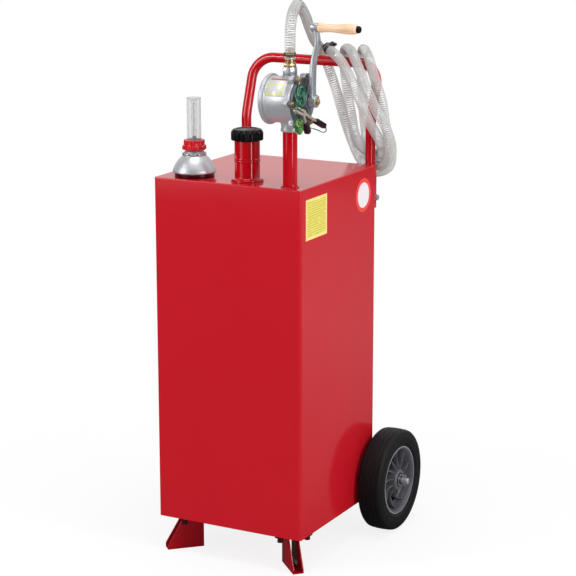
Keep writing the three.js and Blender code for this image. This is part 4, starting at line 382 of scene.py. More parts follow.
def set_camera():
    lens = bpy.data.cameras.new("camera")
    lens.lens, lens.sensor_width, lens.clip_end = 122.83, 36, 100
    camera = bpy.data.objects.new("camera", lens)
    bpy.context.scene.collection.objects.link(camera)
    azimuth, elevation, roll = (radians(angle) for angle in (28.227, 13.458, -0.065))
    level = cos(elevation)
    ahead = Vector(
        (-sin(azimuth) * level, cos(azimuth) * level, -sin(elevation))
    )
    facing = ahead.to_track_quat("-Z", "Y").to_matrix().to_4x4()
    camera.matrix_world = at(2.2598, -4.1013, 1.6792) @ facing @ turn(roll, "Z")
    bpy.context.scene.camera = camera


# Shapes in millimetres


def turn(angle, axis):
    return Matrix.Rotation(angle, 4, axis)


def at(x=0.0, y=0.0, z=0.0):
    return Matrix.Translation((x, y, z))


def moved(shape, *places):
    for place in places:
        bmesh.ops.transform(shape, matrix=place, verts=shape.verts)
    return shape


def shifted(shape, x=0.0, y=0.0, z=0.0):
    return moved(shape, at(x, y, z))


def along_x(shape, x, y=RISER[1], z=PUMP_HEIGHT):
    """Lays a shape's own Z axis along X through a point."""
    return moved(shape, turn(QUARTER, "Y"), at(x, y, z))


def gathered(*shapes):
    whole = shapes[0]
    for shape in shapes[1:]:
        held = bpy.data.meshes.new("held")
        shape.to_mesh(held)
        shape.free()
        whole.from_mesh(held)
        bpy.data.meshes.remove(held)
    return whole


def strung(y, z, *parts):
    """(x, shape) pairs strung on one line along X."""
    return gathered(*[along_x(shape, x, y, z) for x, shape in parts])


def filleted(corners, steps=4):
    """(radius, height[, fillet]) corners as an outline whose rounded corners are arcs."""
    outline = []
    for i, corner in enumerate(corners):
        here = Vector(corner[:2])
        if len(corner) < 3 or not corner[2]:
            outline.append(tuple(here))
            continue
        before = Vector(corners[i - 1][:2]) - here
        after = Vector(corners[(i + 1) % len(corners)][:2]) - here
        half = before.angle(after) / 2
        reach = min(corner[2] / tan(half), before.length * 0.49, after.length * 0.49)
        radius = reach * tan(half)
        bisector = (before.normalized() + after.normalized()).normalized()
        middle = here + bisector * radius / sin(half)
        first = (here + before.normalized() * reach - middle).normalized()
        last = (here + after.normalized() * reach - middle).normalized()
        for step in range(steps + 1):
            outline.append(tuple(middle + first.slerp(last, step / steps) * radius))
    return outline


def spun(shape, geometry, angle, steps, merge=False):
    bmesh.ops.spin(
        shape, geom=geometry, cent=(0, 0, 0), axis=(0, 0, 1), dvec=(0, 0, 0), angle=angle,
        steps=steps, use_merge=merge, use_normal_flip=False, use_duplicate=False,
    )


def turned(profile, steps=ROUND, angle=FULL):
    """An outline of (radius, height) pairs turned about Z."""
    shape = bmesh.new()
    points = [shape.verts.new((radius, 0, height)) for radius, height in profile]
    pairs = list(zip(points, points[1:]))
    if profile[0][0] > 0 or profile[-1][0] > 0:
        pairs.append((points[-1], points[0]))
    edges = [shape.edges.new(pair) for pair in pairs]
    whole = abs(angle - FULL) < 1e-6
    if not whole:
        shape.faces.new(points)
    spun(shape, points + edges if whole else shape.faces[:], angle, steps, whole)
    bmesh.ops.remove_doubles(shape, verts=shape.verts, dist=1e-3)
    bmesh.ops.recalc_face_normals(shape, faces=shape.faces)
    return shape


def lathe(corners, steps=ROUND, arc=4):
    return turned(filleted(corners, arc), steps)


def bevelled(shape, edges, width, segments):
    bmesh.ops.bevel(
        shape, geom=edges, offset=width, segments=segments, profile=0.5, affect="EDGES",
        material=-1, clamp_overlap=True,
    )
    return shape


def rounded_edges(shape, width, segments=2, sharper_than=30):
    limit = radians(sharper_than)
    edges = [e for e in shape.edges if len(e.link_faces) == 2 and e.calc_face_angle() > limit]
    return bevelled(shape, edges, width, segments)


def block(low, high, edge=0.8, segments=2):
    shape = bmesh.new()
    bmesh.ops.create_cube(shape, size=1)
    size = [b - a for a, b in zip(low, high)]
    middle = [(a + b) / 2 for a, b in zip(low, high)]
    moved(shape, Matrix.Diagonal((*size, 1)), at(*middle))
    return rounded_edges(shape, edge, segments) if edge else shape


def prism(outline, foot, top, edge, sharper_than=30):
    """A flat outline of (x, y) pairs drawn up along Z to the height that top gives."""
    shape = bmesh.new()
    face = shape.faces.new([shape.verts.new((x, y, foot)) for x, y in outline])
    drawn = bmesh.ops.extrude_face_region(shape, geom=[face])
    for item in drawn["geom"]:
        if isinstance(item, bmesh.types.BMVert):
            item.co.z = top(item.co)
    bmesh.ops.recalc_face_normals(shape, faces=shape.faces)
    return rounded_edges(shape, edge, 2, sharper_than) if edge else shape


def circled(radius, count):
    angles = [FULL * i / count for i in range(count)]
    return [(radius * cos(angle), radius * sin(angle)) for angle in angles]


def hexagon(flats, height, edge=0.6):
    return prism(circled(flats / sqrt(3), 6), 0, lambda corner: height, edge)


def rod(radius, length, edge=0.4, steps=SMALL):
    return lathe([(0, 0), (radius, 0, edge), (radius, length, edge), (0, length)], steps, 3)


def ring(inner, outer, height, edge=0.3, steps=SMALL):
    corners = [(inner, 0), (outer, 0), (outer, height), (inner, height)]
    return lathe([(*corner, edge) for corner in corners], steps, 3)


def softened(node, width, segments=2):
    """A CAD solid's own shape with whole faces and rounded edges."""
    shape = bmesh.new()
    shape.from_mesh(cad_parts[node].data)
    bmesh.ops.scale(shape, vec=(1 / MM,) * 3, verts=shape.verts)
    bmesh.ops.remove_doubles(shape, verts=shape.verts, dist=0.005)
    limit = radians(1)
    bmesh.ops.dissolve_limit(shape, angle_limit=limit, verts=shape.verts, edges=shape.edges)
    return rounded_edges(shape, width, segments)


def catmull(stops, steps):
    """A centripetal curve through its stops, with the same number of steps between each two."""
    stops = [Vector(stop) for stop in stops]
    line = []
    for i, (start, end) in enumerate(zip(stops, stops[1:])):
        before = stops[i - 1] if i else start * 2 - end
        after = stops[i + 2] if i + 2 < len(stops) else end * 2 - start
        pairs = ((before, start), (start, end), (end, after))
        a, b, c = (sqrt((far - near).length) for near, far in pairs)
        leave = (start - before) / a - (end - before) / (a + b) + (end - start) / b
        reach = (end - start) / b - (after - start) / (b + c) + (after - end) / c
        leave, reach = leave * b, reach * b
        bent = 2 * start - 2 * end + leave + reach
        swing = -3 * start + 3 * end - 2 * leave - reach
        for step in range(steps):
            t = step / steps
            line.append(bent * t**3 + swing * t**2 + leave * t + start)
    line.append(stops[-1])
    return line


def headings(line):
    """The way ahead at each point of a line."""
    last = len(line) - 1
    return [(line[min(i + 1, last)] - line[max(i - 1, 0)]).normalized() for i in range(last + 1)]


# Pieces


def as_object(shape, name):
    bmesh.ops.scale(shape, vec=(MM,) * 3, verts=shape.verts)
    data = bpy.data.meshes.new(name)
    shape.to_mesh(data)
    shape.free()
    return bpy.data.objects.new(name, data)


def smoothed(piece, sharp=32):
    piece.data.shade_smooth()
    piece.data.set_sharp_from_angle(angle=radians(sharp))
    return piece


def listed(piece, finish, nodes, body="caddy"):
    piece.data.materials.append(finish.material)
    bpy.context.scene.collection.objects.link(piece)
    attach(piece, body)
    if nodes:
        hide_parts(*nodes)
    return piece


def finished(shape, name, finish, *nodes, body="caddy", sharp=32):
    """Makes a shape a piece that rides on a body, and stands for the CAD nodes that it names."""
    bmesh.ops.remove_doubles(shape, verts=shape.verts, dist=1e-3)
    bmesh.ops.recalc_face_normals(shape, faces=shape.faces)
    return listed(smoothed(as_object(shape, name), sharp), finish, nodes, body)


def strand(name, line, thickness, finish, *nodes, sides=4, caps=True):
    """A round strand along a line of points."""
    data = bpy.data.curves.new(name, "CURVE")
    data.dimensions = "3D"
    spline = data.splines.new("POLY")
    spline.points.add(len(line) - 1)
    for point, place in zip(spline.points, line):
        point.co = (*(place * MM), 1)
    data.bevel_depth, data.bevel_resolution = thickness * MM / 2, sides
    data.use_fill_caps = caps
    spline.use_smooth = True
    return listed(bpy.data.objects.new(name, data), finish, nodes)


def thickened(piece, thickness, offset):
    sheet = piece.modifiers.new("sheet", "SOLIDIFY")
    sheet.thickness, sheet.offset = thickness * MM, offset


def settled(piece):
    """Makes a piece's modifiers part of its mesh."""
    graph = bpy.context.evaluated_depsgraph_get()
    made = bpy.data.meshes.new_from_object(piece.evaluated_get(graph))
    piece.modifiers.clear()
    piece.data = made


def bored(piece, cutters):
    """Cuts shapes out of a piece."""
    for shape in cutters:
        cutter = as_object(shape, "cutter")
        bpy.context.scene.collection.objects.link(cutter)
        away = piece.modifiers.new("bore", "BOOLEAN")
        away.operation, away.solver, away.object = "DIFFERENCE", "EXACT", cutter
        bpy.context.view_layer.update()
        settled(piece)
        bpy.data.objects.remove(cutter)
    smoothed(piece)


def toward(place, ahead, up):
    """Stands a shape's own Z axis along a direction from a place."""
    return at(*place) @ ahead.to_track_quat("Z", up).to_matrix().to_4x4()


HOSE_START = (154.5, -168.5, 1146.4)
HOSE_STOPS = (
    (154.5, -168.5, 1180), (153.5, -164, 1217), (149, -147, 1244), (140, -115, 1259),
    (123, -70, 1260), (104, -18, 1247), (82, 45, 1222), (57, 112, 1189), (34, 182, 1151),
    (17, 232, 1133), (9, 278, 1109), (16, 304, 1057), (32, 314, 1001), (49, 316, 944),
    (73, 312, 890), (105, 300, 842), (150, 279, 817), (200, 266, 835), (215, 248, 890),
    (206, 231, 946), (200, 222, 1005), (183, 216, 1060), (157, 234, 1108), (122, 275, 1121),
    (103, 306, 1068), (102, 313, 1010), (109, 309, 951), (122, 300, 894), (146, 272, 849),
    (189, 240, 841), (226, 211, 873), (227, 198, 933), (199, 191, 987), (172, 192, 1040),
    (141, 209, 1087), (106, 240, 1120), (69, 281, 1116), (55, 308, 1071), (60, 313, 1013),
    (75, 306, 956), (96, 287, 905), (136, 258, 876), (189, 240, 869), (203, 208, 906),
    (185, 184, 957), (160, 181, 1010), (129, 192, 1059), (91, 214, 1098), (43, 236, 1126),
)
HOSE_DIAMETER = 25
HELIX_PITCH = 5.6
HELIX_STEPS = 10
HELIX_RADIUS = 12.1
HELIX_THICKNESS = 1.8


def clip_shape(angle):
    """A worm-drive clip round the hose, centred on its own axis."""
    tooth = ((13.6, -0.35, 1.6), (13.95, 0.35, 7.4), 0)
    teeth = [moved(block(*tooth), turn(-0.9 - i * 0.11, "Z")) for i in range(9)]
    parts = [ring(12.75, 13.7, 9, 0.3, MID), *teeth]
    parts.append(block((13.2, -7.5, -0.4), (16.2, 7.5, 9.4), 0.7))
    for shape, y in ((rod(3.6, 13, 0.8), -6.5), (hexagon(7, 4), 6.8)):
        parts.append(moved(shape, turn(-QUARTER, "X"), at(18, y, 4.5)))
    return moved(gathered(*parts), turn(angle, "Z"))


def helix_line(line):
    """The wire's winding inside the hose's wall, at an even pitch along a line."""
    lengths, pairs = [0.0], []
    for a, b in zip(line, line[1:]):
        lengths.append(lengths[-1] + (b - a).length)
    side = Vector((1, 0, 0))
    for ahead in headings(line):
        side = (side - ahead * side.dot(ahead)).normalized()
        pairs.append((side, ahead.cross(side)))
    steps = int(lengths[-1] / HELIX_PITCH) * HELIX_STEPS
    coil, i = [], 0
    for step in range(steps):
        run = lengths[-1] * step / steps
        while lengths[i + 1] < run:
            i += 1
        share = (run - lengths[i]) / (lengths[i + 1] - lengths[i])
        over, across = (a.lerp(b, share) for a, b in zip(pairs[i], pairs[i + 1]))
        angle = FULL * step / HELIX_STEPS
        out = (over * cos(angle) + across * sin(angle)) * HELIX_RADIUS
        coil.append(line[i].lerp(line[i + 1], share) + out)
    return coil


def hose():
    line = catmull([HOSE_START, *HOSE_STOPS], 14)
    wall = strand("hose_wall", line, HOSE_DIAMETER, VINYL, "hose", sides=7, caps=False)
    coil = helix_line(line)
    helix = strand("hose_helix", coil, HELIX_THICKNESS, HELIX, sides=0, caps=False)
    facing = toward(line[-1], (line[-1] - line[-2]).normalized(), "Y")
    corners = [(6, -25, 0.5), (8.6, -25, 0.8), (8.6, 0.3), (12.2, 0.3, 0.8), (12.2, 5, 0.9)]
    spout = moved(lathe([*corners, (6, 5, 0.5)], SMALL, 3), facing)
    tip = finished(spout, "hose_end_fitting", BLACK, "hose_end_spout")
    clip = moved(clip_shape(2), at(z=-12), facing)
    clip = finished(clip, "hose_end_clip", DARK_STEEL, "end_hose_clip")


WIRE_DIAMETER = 2.5
WIRE_PITCH = 3.05
WIRE_LOOP_STEPS = 14
HANK_MIDDLE = (-206, 1068)
HANK_LAYERS = 4
HANK_LOOPS_EACH = 2
HANK_TURNS = 8.25
LOOSE_MIDDLE = (-203.5, 999)
LOOSE_TURNS = 2.25
WIRE_START = ((193, -198.5, 1098.4), (193, -198.7, 1095.6), (193.4, -200.5, 1092))
WIRE_PAST_JAWS = (
    (202.9, -225.2, 1057), (202.6, -231, 1047), (202, -234.3, 1036), (201.4, -233.5, 1024),
    (200.9, -228, 1014),
)
WIRE_TAIL = (
    (191.2, -194, 981.5), (189.4, -183, 983.8), (189, -163, 986.9), (190.6, -140, 987),
    (194, -125, 983.2), (197.2, -107, 976.8), (198, -90, 971.2), (198, -77, 970),
    (198, -71.6, 973.2),
)


def looped(x, y, z, width, height, angle, lag=0.0):
    """A point at an angle of an upright oval loop."""
    return Vector((x, y + width * cos(angle), z + height * sin(angle + lag)))


def hank_point(turns):
    """The hank in its layers, which wind outward and inward by turns."""
    layer = min(int(turns / HANK_LOOPS_EACH), HANK_LAYERS - 1)
    within = turns - layer * HANK_LOOPS_EACH
    width = 15 - WIRE_PITCH * (HANK_LOOPS_EACH - within if layer % 2 else within)
    x = 193.7
    for climb in range(1, HANK_LAYERS):
        x += WIRE_PITCH * min(max(2 * (turns - climb * HANK_LOOPS_EACH) + 0.5, 0), 1)
    return looped(x, *HANK_MIDDLE, width, width + 7, QUARTER + FULL * turns)


def inner_point(turns):
    """The hank's small inner loops, which fill its middle."""
    layer = int(turns / HANK_LOOPS_EACH)
    off = abs(turns - (layer + layer % 2) * HANK_LOOPS_EACH)
    width = 2.8 + WIRE_PITCH * off / HANK_LOOPS_EACH
    angle = QUARTER + FULL * turns + 0.3 * sin(3 * turns)
    return looped(194 + 9.4 * turns / HANK_TURNS, *HANK_MIDDLE, width, width + 9, angle)


def outer_point(turns):
    """Looser loops that lie over the hank."""
    angle = pi / 3 + FULL * turns + 0.25 * sin(5 * turns)
    width = 19.6 + 2.2 * sin(2.3 * turns)
    return looped(198.6 + 1.1 * turns, -205.5, 1065, width, width + 4, angle, 0.2)


def loose_point(turns):
    """The loose loops under the clamp."""
    x = 200.4 - 6.8 * turns / LOOSE_TURNS
    return looped(x, *LOOSE_MIDDLE, 14.5, 17, pi * (1 + 2 * turns))


def loose_inner_point(turns):
    """Loops inside the loose ones."""
    angle = pi * (0.6 + 2 * turns) + 0.3 * sin(4 * turns)
    width = 10.6 - 1.9 * turns
    return looped(200 - 1.5 * turns, -203.5, 998, width, width + 2, angle)


def wound(point_at, turns):
    steps = round(turns * WIRE_LOOP_STEPS)
    return [point_at(turns * i / steps) for i in range(steps + 1)]


def bridged(before, stops, after):
    return catmull([*before[-2:], *stops, *after[:2]], 2)[3:-3]


def earth_lead():
    """The wire's hank, its loose loops and its tail to the clamp's long handle."""
    hank, loose = wound(hank_point, HANK_TURNS), wound(loose_point, LOOSE_TURNS)
    end, pivot = Vector((CLAMP_X, *CLAMP_LONG_END)), Vector((CLAMP_X, *CLAMP_PIVOT))
    last = [end + (end - pivot).normalized() * reach for reach in (5, 0.3)]
    to_loose, to_end = bridged(hank, WIRE_PAST_JAWS, loose), bridged(loose, WIRE_TAIL, last)
    line = catmull([*WIRE_START, *hank, *to_loose, *loose, *to_end, *last], 3)
    lead = strand("ground_lead", line, WIRE_DIAMETER, EARTH, "ground_wire", sides=2)
    others = []
    for name, point_at, turns in (
        ("hank_inner_loops", inner_point, HANK_LAYERS * HANK_LOOPS_EACH),
        ("hank_outer_loops", outer_point, 4.3),
        ("loose_inner_loops", loose_inner_point, 4.2),
    ):
        loops = catmull(wound(point_at, turns), 2)
        others.append(strand(name, loops, WIRE_DIAMETER, EARTH, sides=2))
    terminal = gathered(
        along_x(ring(2.8, 5.4, 0.9, 0.2), 191.2, -198.5, 1105),
        block((190.9, -199.9, 1098), (192.1, -197.1, 1101.5), 0.3),
        shifted(ring(1.35, 2.0, 6), 193, -198.5, 1093.6),
    )
    others += [finished(terminal, "ring_terminal", BRASS), *clamp()]


def sleeve(end, share, width, finish, name, body):
    """The dipped grip on the outer part of a clamp's handle."""
    start, end = Vector((CLAMP_X, *CLAMP_PIVOT)), Vector((CLAMP_X, *end))
    ahead = (end - start).normalized()
    length = (end - start).length * share
    half, tall = width / 2, width * 0.56
    shape = block((-half, -tall, 0), (half, tall, length), 3.6, 6)
    moved(shape, toward(end - ahead * length, ahead, "X"))
    return finished(shape, name, finish, body=body)


def clamp():
    """Two plated levers on a pin, with dipped grips and a torsion spring."""
    pieces = []
    for place, size, body in (("upper", "long", "caddy"), ("lower", "short", "clamp_lever")):
        node = f"clamp_{size}_lever"
        shape = softened(node, 0.7)
        pieces.append(finished(shape, f"clamp_{place}_lever", NICKEL, node, body=body))
    pin = strung(
        *CLAMP_PIVOT, (CLAMP_X - 5.7, rod(1.9, 11.4)), (CLAMP_X - 6, rod(3.1, 1)),
        (CLAMP_X + 5, rod(3.1, 1)),
    )
    winding = [(CLAMP_X - 3.4 + 6.8 * i / 60, FULL * 4 * i / 60) for i in range(61)]
    coil = [looped(x, *CLAMP_PIVOT, 4.6, 4.6, angle) for x, angle in winding]
    return [
        *pieces,
        finished(pin, "clamp_rivet", STEEL, "clamp_pin"),
        sleeve(CLAMP_LONG_END, 0.42, 12.6, BLACK, "long_grip", "caddy"),
        sleeve(CLAMP_SHORT_END, 0.52, 13.2, MAROON, "short_grip", "clamp_lever"),
        strand("clamp_spring", coil, 1.3, STEEL, sides=1),
    ]


def weld(name, places, size, swell, fast, slow):
    """A bead of overlapping ripples of uneven size."""
    shape = bmesh.new()
    for i, place in enumerate(places):
        radius = size * (1 + swell * sin(fast * i) + 0.08 * sin(slow * i))
        bmesh.ops.create_icosphere(shape, subdivisions=2, radius=radius, matrix=place)
    finished(shape, name, RED, sharp=180)


def weld_ring(name, x, y, z, radius, size, count):
    bead = at(radius) @ Matrix.Diagonal((1, 0.75, 0.62, 1))
    places = [at(x, y, z) @ turn(FULL * i / count, "Z") @ bead for i in range(count)]
    weld(name, places, size, 0.12, 7.3, 3.1)


def tank():
    shape = block((-TANK_SIDE, -TANK_SIDE, 0), (TANK_SIDE, TANK_SIDE, TANK_TOP), 0)
    upright = [edge for edge in shape.edges if abs(edge.verts[0].co.z - edge.verts[1].co.z) > 1]
    bevelled(shape, upright, 7, 6)
    rounded_edges(shape, 2.6, 4, 60)
    shell = finished(shape, "tank_shell", RED, "tank_wrap", "tank_top_pan", "tank_bottom_pan")
    thickened(shell, 1.5, -1)
    settled(shell)
    holes = ((*FILLER, 26.2), (*GAUGE, 30), (*RISER, 16.9))
    bored(shell, [shifted(rod(r, 24, 0, MID), x, y, TANK_TOP - 12) for x, y, r in holes])
    flat = shell.modifiers.new("flat_walls", "WEIGHTED_NORMAL")
    flat.keep_sharp, flat.weight = True, 100
    weld_ring("riser_weld", *RISER, TANK_TOP + 0.8, 18.2, 3.3, 26)
    weld_ring("neck_weld", *FILLER, TANK_TOP + 0.3, 37.6, 1.5, 96)


DIAGONAL = 0.7071
FOOT_PLACE = 185


def feet():
    heads, lugs = [], []
    for name, side in SIDES.items():
        node = f"foot_{name}"
        finished(softened(node, 0.9, 3), f"folded_{node}", FOOT_SHADE_RED, node)
        for flank in (-23.5, 23.5):
            x = side * (FOOT_PLACE + DIAGONAL * (flank - 69))
            y = DIAGONAL * (flank + 69) - FOOT_PLACE
            heads.append(shifted(rod(6.4, 1.2, 0.3), x, y, -3.9))
            heads.append(shifted(hexagon(13, 7), x, y, -10.8))
            heads.append(shifted(rod(4, 14, 0.5), x, y, -16))
        for x, y in ((side * 134, -182), (side * 182, -134)):
            lugs.append(block((x - 11, y - 8, -6), (x + 11, y + 8, -0.3), 1))
            lugs.append(shifted(hexagon(14, 12, 1), x, y, -17))
    finished(gathered(*heads), "foot_bolts", STEEL)
    # The lugs wear the near-black enamel: painted shade under the tank.
    finished(gathered(*lugs), "foot_lugs", PAINTED_SHADE_RED)


def scalloped(shape, count, depth, width, low, high, beyond, start=0.0):
    """Draws a turned shape in at evenly spaced grooves between two heights."""
    for vertex in shape.verts:
        radius = hypot(vertex.co.x, vertex.co.y)
        if radius < beyond or not low <= vertex.co.z <= high:
            continue
        angle = (atan2(vertex.co.y, vertex.co.x) - start) % (FULL / count)
        off = min(angle, FULL / count - angle) * radius / width
        vertex.co.xy *= (radius - depth * exp(-(off**2))) / radius
    return shape


def filler():
    neck = lathe([
        (26.3, 0), (37.8, 0, 0.8), (37.8, 6.8, 1.2), (31.6, 8.2, 1.6), (29.9, 10.5, 1.5),
        (29.9, 47), (31.2, 48.4, 0.9), (31.2, 51.4, 0.9), (29.9, 52, 0.3), (26.3, 52),
    ])
    finished(shifted(neck, *FILLER, WELD_TOP), "filler_neck_pipe", TUBE_SHADE_RED, "filler_neck")
    collar = lathe([
        (22.5, -18, 0.5), (26, -18, 0.5), (26, 0.3), (30.6, 0.3, 0.8), (30.6, 2.8, 1),
        (29.7, 4.2, 1), (29.7, 46, 1.2), (27.2, 47), (27.2, 62.3, 0.8), (22.5, 62.3, 0.8),
    ])
    finished(shifted(collar, *FILLER, SEAM), "filler_collar", TUBE_SHADE_RED, "neck_collar")
    corners = [
        (0, -4), (29.8, -4, 0.5), (29.8, -26.4, 0.5), (36.2, -26.4, 0.6), (38.4, -24.4, 1.2),
        (38.4, -15), (38.4, -7.6, 4), (33.6, -1.4, 3), (29.5, 0, 1.5), (26, 0, 0.8),
        (24.4, -1.6, 0.8), (0, -1.6),
    ]
    cap = scalloped(lathe(corners, 176), 12, 3.4, 3.2, -30, -1, 31)
    shifted(cap, *FILLER, CAP_TOP)
    finished(cap, "screw_cap", BLACK, "filler_cap", body="cap", sharp=40)


def gauge():
    # The base ring wears the near-black enamel: painted shade under the dome.
    base = ring(30, 47.4, 10, 1.2, ROUND)
    finished(shifted(base, *GAUGE, WELD_TOP), "gauge_base", PAINTED_SHADE_RED, "gauge_ring")
    stops = [
        (52.2, 6), (51, 10), (48.6, 15.6), (45.8, 20.6), (41.8, 27.2), (37.4, 33), (32.6, 38),
        (29, 41.4),
    ]
    head = turned([
        (49, 3), (51.2, 3), (52.2, 4.2), *catmull(stops, 5), (28.2, 42.6), (28.2, 43.4),
        (22.6, 43.8), (22.6, 52.4), (21.8, 53), (14.8, 53), (14.8, 40), (34, 30), (43, 17),
        (48, 8),
    ])
    teeth = []
    for i in range(9):
        tooth = turned([(22, 43), (28.8, 43), (28.8, 48.8), (22, 48.8)], 8, 0.5)
        teeth.append(rounded_edges(moved(tooth, turn(i * FULL / 9, "Z")), 0.5))
    head = shifted(gathered(head, *teeth), *GAUGE, HEAD_BASE)
    finished(head, "gauge_dome", HEAD, "gauge_head", sharp=40)
    corners = [
        (23.2, 3, 0.4), (29, 3.2, 1.4), (29, 7), (29, 12.8, 1.6), (25, 13.8, 0.6), (25, 19),
        (25, 26.4, 1.2), (17.5, 26.4, 0.6), (17.5, 6, 0.4), (23.2, 5, 0.4),
    ]
    nut = scalloped(lathe(corners, 160), 8, 4.6, 3.9, -1, 13.4, 24, FULL / 16)
    scalloped(nut, 16, 1.6, 1.7, 14.4, 28, 22)
    nut = shifted(nut, *GAUGE, NUT_BASE)
    finished(nut, "gauge_ring_nut", RED_PLASTIC, "gauge_nut", sharp=45)
    tube = lathe([
        (0, 125.5), (17.2, 125.5, 0.7), (17.2, 121.8, 0.6), (16.8, 121.2), (16.8, 4.2),
        (19.8, 4, 0.4), (19.8, 0, 0.4), (14.8, 0), (14.8, 121.3, 0.8), (0, 121.3),
    ])
    finished(shifted(tube, *GAUGE, GLASS_BASE), "sight_glass", CLEAR, "sight_tube")
    core = gathered(ring(5.7, 6.5, 118, 0.2, 48), shifted(ring(0.4, 6.5, 0.8, 0.2, 48), z=117.4))
    finished(shifted(core, *GAUGE, 914), "sight_core", CORE)
    # A grey ring on the clear tube's top edge: painted shade.
    finished(shifted(ring(15.4, 17.3, 1.2), *GAUGE, 1035.6), "sight_rim_shade", SIGHT_EDGE_SHADE)
    marks = []
    for i in range(16):
        mark = block((-1.7, -7.4, -1), (1.7 if i % 4 else 3, -6.6, 1), 0)
        marks.append(moved(mark, turn(0.42, "Z"), at(*GAUGE, 940 + 5.6 * i)))
    finished(gathered(*marks), "sight_marks", TICKS)


def riser():
    pipe = lathe([(14, 824), (16.85, 824, 0.5), (16.85, 990), (16.85, 992, 0.5), (14, 992, 0.5)])
    finished(shifted(pipe, *RISER), "riser_tube", TUBE_SHADE_RED, "riser_pipe")


def pump():
    drum = lathe([
        (44, 0), (54.6, 0, 0.8), (54.6, 4.5, 1.2), (53.3, 5.5, 0.8), (53.3, 64),
        (54.2, 65.4, 0.8), (54.2, 71, 0.6), (44, 71),
    ])
    top_port = [(11.5, 45), (19.5, 45), (17.6, 50, 3), (17.6, 54, 1), (19, 55, 0.6)]
    top_port += [(19, 56.5, 0.5), (11.5, 56.5)]
    foot_port = [(17.2, 0, 0.6), (21.5, 0, 1.2), (21.5, 7, 1), (20.4, 8.5, 1)]
    foot_port += [(20.8, 16, 2), (24, 24), (17.2, 24)]
    front = lathe([
        (11.3, 0), (54, 0, 0.8), (54, 7, 1.4), (49.5, 7, 0.8), (47.5, 5, 1), (26, 5, 3),
        (20.5, 9, 3), (18, 19, 2), (16, 21, 1.4), (11.3, 21),
    ])
    housing, cover, bolts = [along_x(drum, 111.3)], [along_x(front, 183.8)], []
    for corners, z in ((top_port, PUMP_HEIGHT), (foot_port, 981)):
        housing.append(shifted(lathe(corners, MID), *RISER, z))
    for i in range(6):
        angle = FULL * (i + 0.5) / 6
        out = (-sin(angle), cos(angle))
        y, z = RISER[1] + 60 * out[0], PUMP_HEIGHT + 60 * out[1]
        lug = lathe([(0, 0), (5.4, 0, 2), (7.5, 7, 3), (7.5, 16, 0.6), (0, 16)], SMALL)
        root = moved(block((168, -7.2, -6), (182, 7.2, 9), 2), turn(angle, "X"))
        housing += [along_x(lug, 166.3, y, z), shifted(root, 0, y - out[0] * 9, z - out[1] * 9)]
        web = moved(block((188, -2.2, 17), (193.6, 2.2, 56), 1.2, 3), turn(angle, "X"))
        cover.append(along_x(rod(8, 7.2, 1.4), 183.8, y, z))
        cover.append(shifted(web, 0, RISER[1], PUMP_HEIGHT))
        washer, head = rod(6.6, 1.1, 0.3), hexagon(10, 4.4, 0.7)
        bolts.append(strung(y, z, (COVER_FACE + 0.2, washer), (COVER_FACE + 1.2, head)))
    angle = atan2(CLAMP_PIVOT[1] - CLAMP_JAW[1], CLAMP_PIVOT[0] - CLAMP_JAW[0])
    tab = moved(block((188.6, -4, -1.5), (199.6, 12, 1.5), 0.6), turn(angle, "X"))
    cover.append(shifted(tab, 0, *CLAMP_JAW))
    back = lathe([
        (0, 0), (14, 0, 1), (15, 1, 0.6), (47, 1, 1), (50, -2, 2.5), (57, -2, 3),
        (58.7, 1.2, 2), (58.7, 5.2, 1), (57.2, 6, 0.5), (57.2, 8.2, 0.6), (0, 8.2),
    ])
    finished(gathered(*housing), "pump_drum", SILVER, "pump_housing", sharp=40)
    finished(along_x(back, 102.8), "pump_back", SILVER, "pump_rear_cover")
    finished(gathered(*cover), "pump_face", DARK, "pump_front_cover", sharp=40)
    finished(gathered(*bolts), "cover_bolts", BRASS)
    gasket = ring(44, 53.8, 0.9, 0.2, ROUND)
    finished(along_x(gasket, 182.6), "pump_gasket", SEALING, "cover_gasket")


def pump_plate():
    """A thin plate bent round the pump's drum, with its own map for the frame and the bar."""
    bend = 0.95
    radius, label = 53.5, bmesh.new()
    points = [label.verts.new((radius, 0, x)) for x in (117.5, 166.5)]
    spun(label, [*points, label.edges.new(points)], bend, 20)
    sheet_map = label.loops.layers.uv.new("UVMap")
    for face in label.faces:
        for loop in face.loops:
            x, y, z = loop.vert.co
            loop[sheet_map].uv = (z / 100, atan2(y, x) / bend)
    moved(label, turn(-0.25 - bend - QUARTER, "Z"))
    thickened(finished(along_x(label, 0), "pump_plate", PLATE), 0.35, 1)


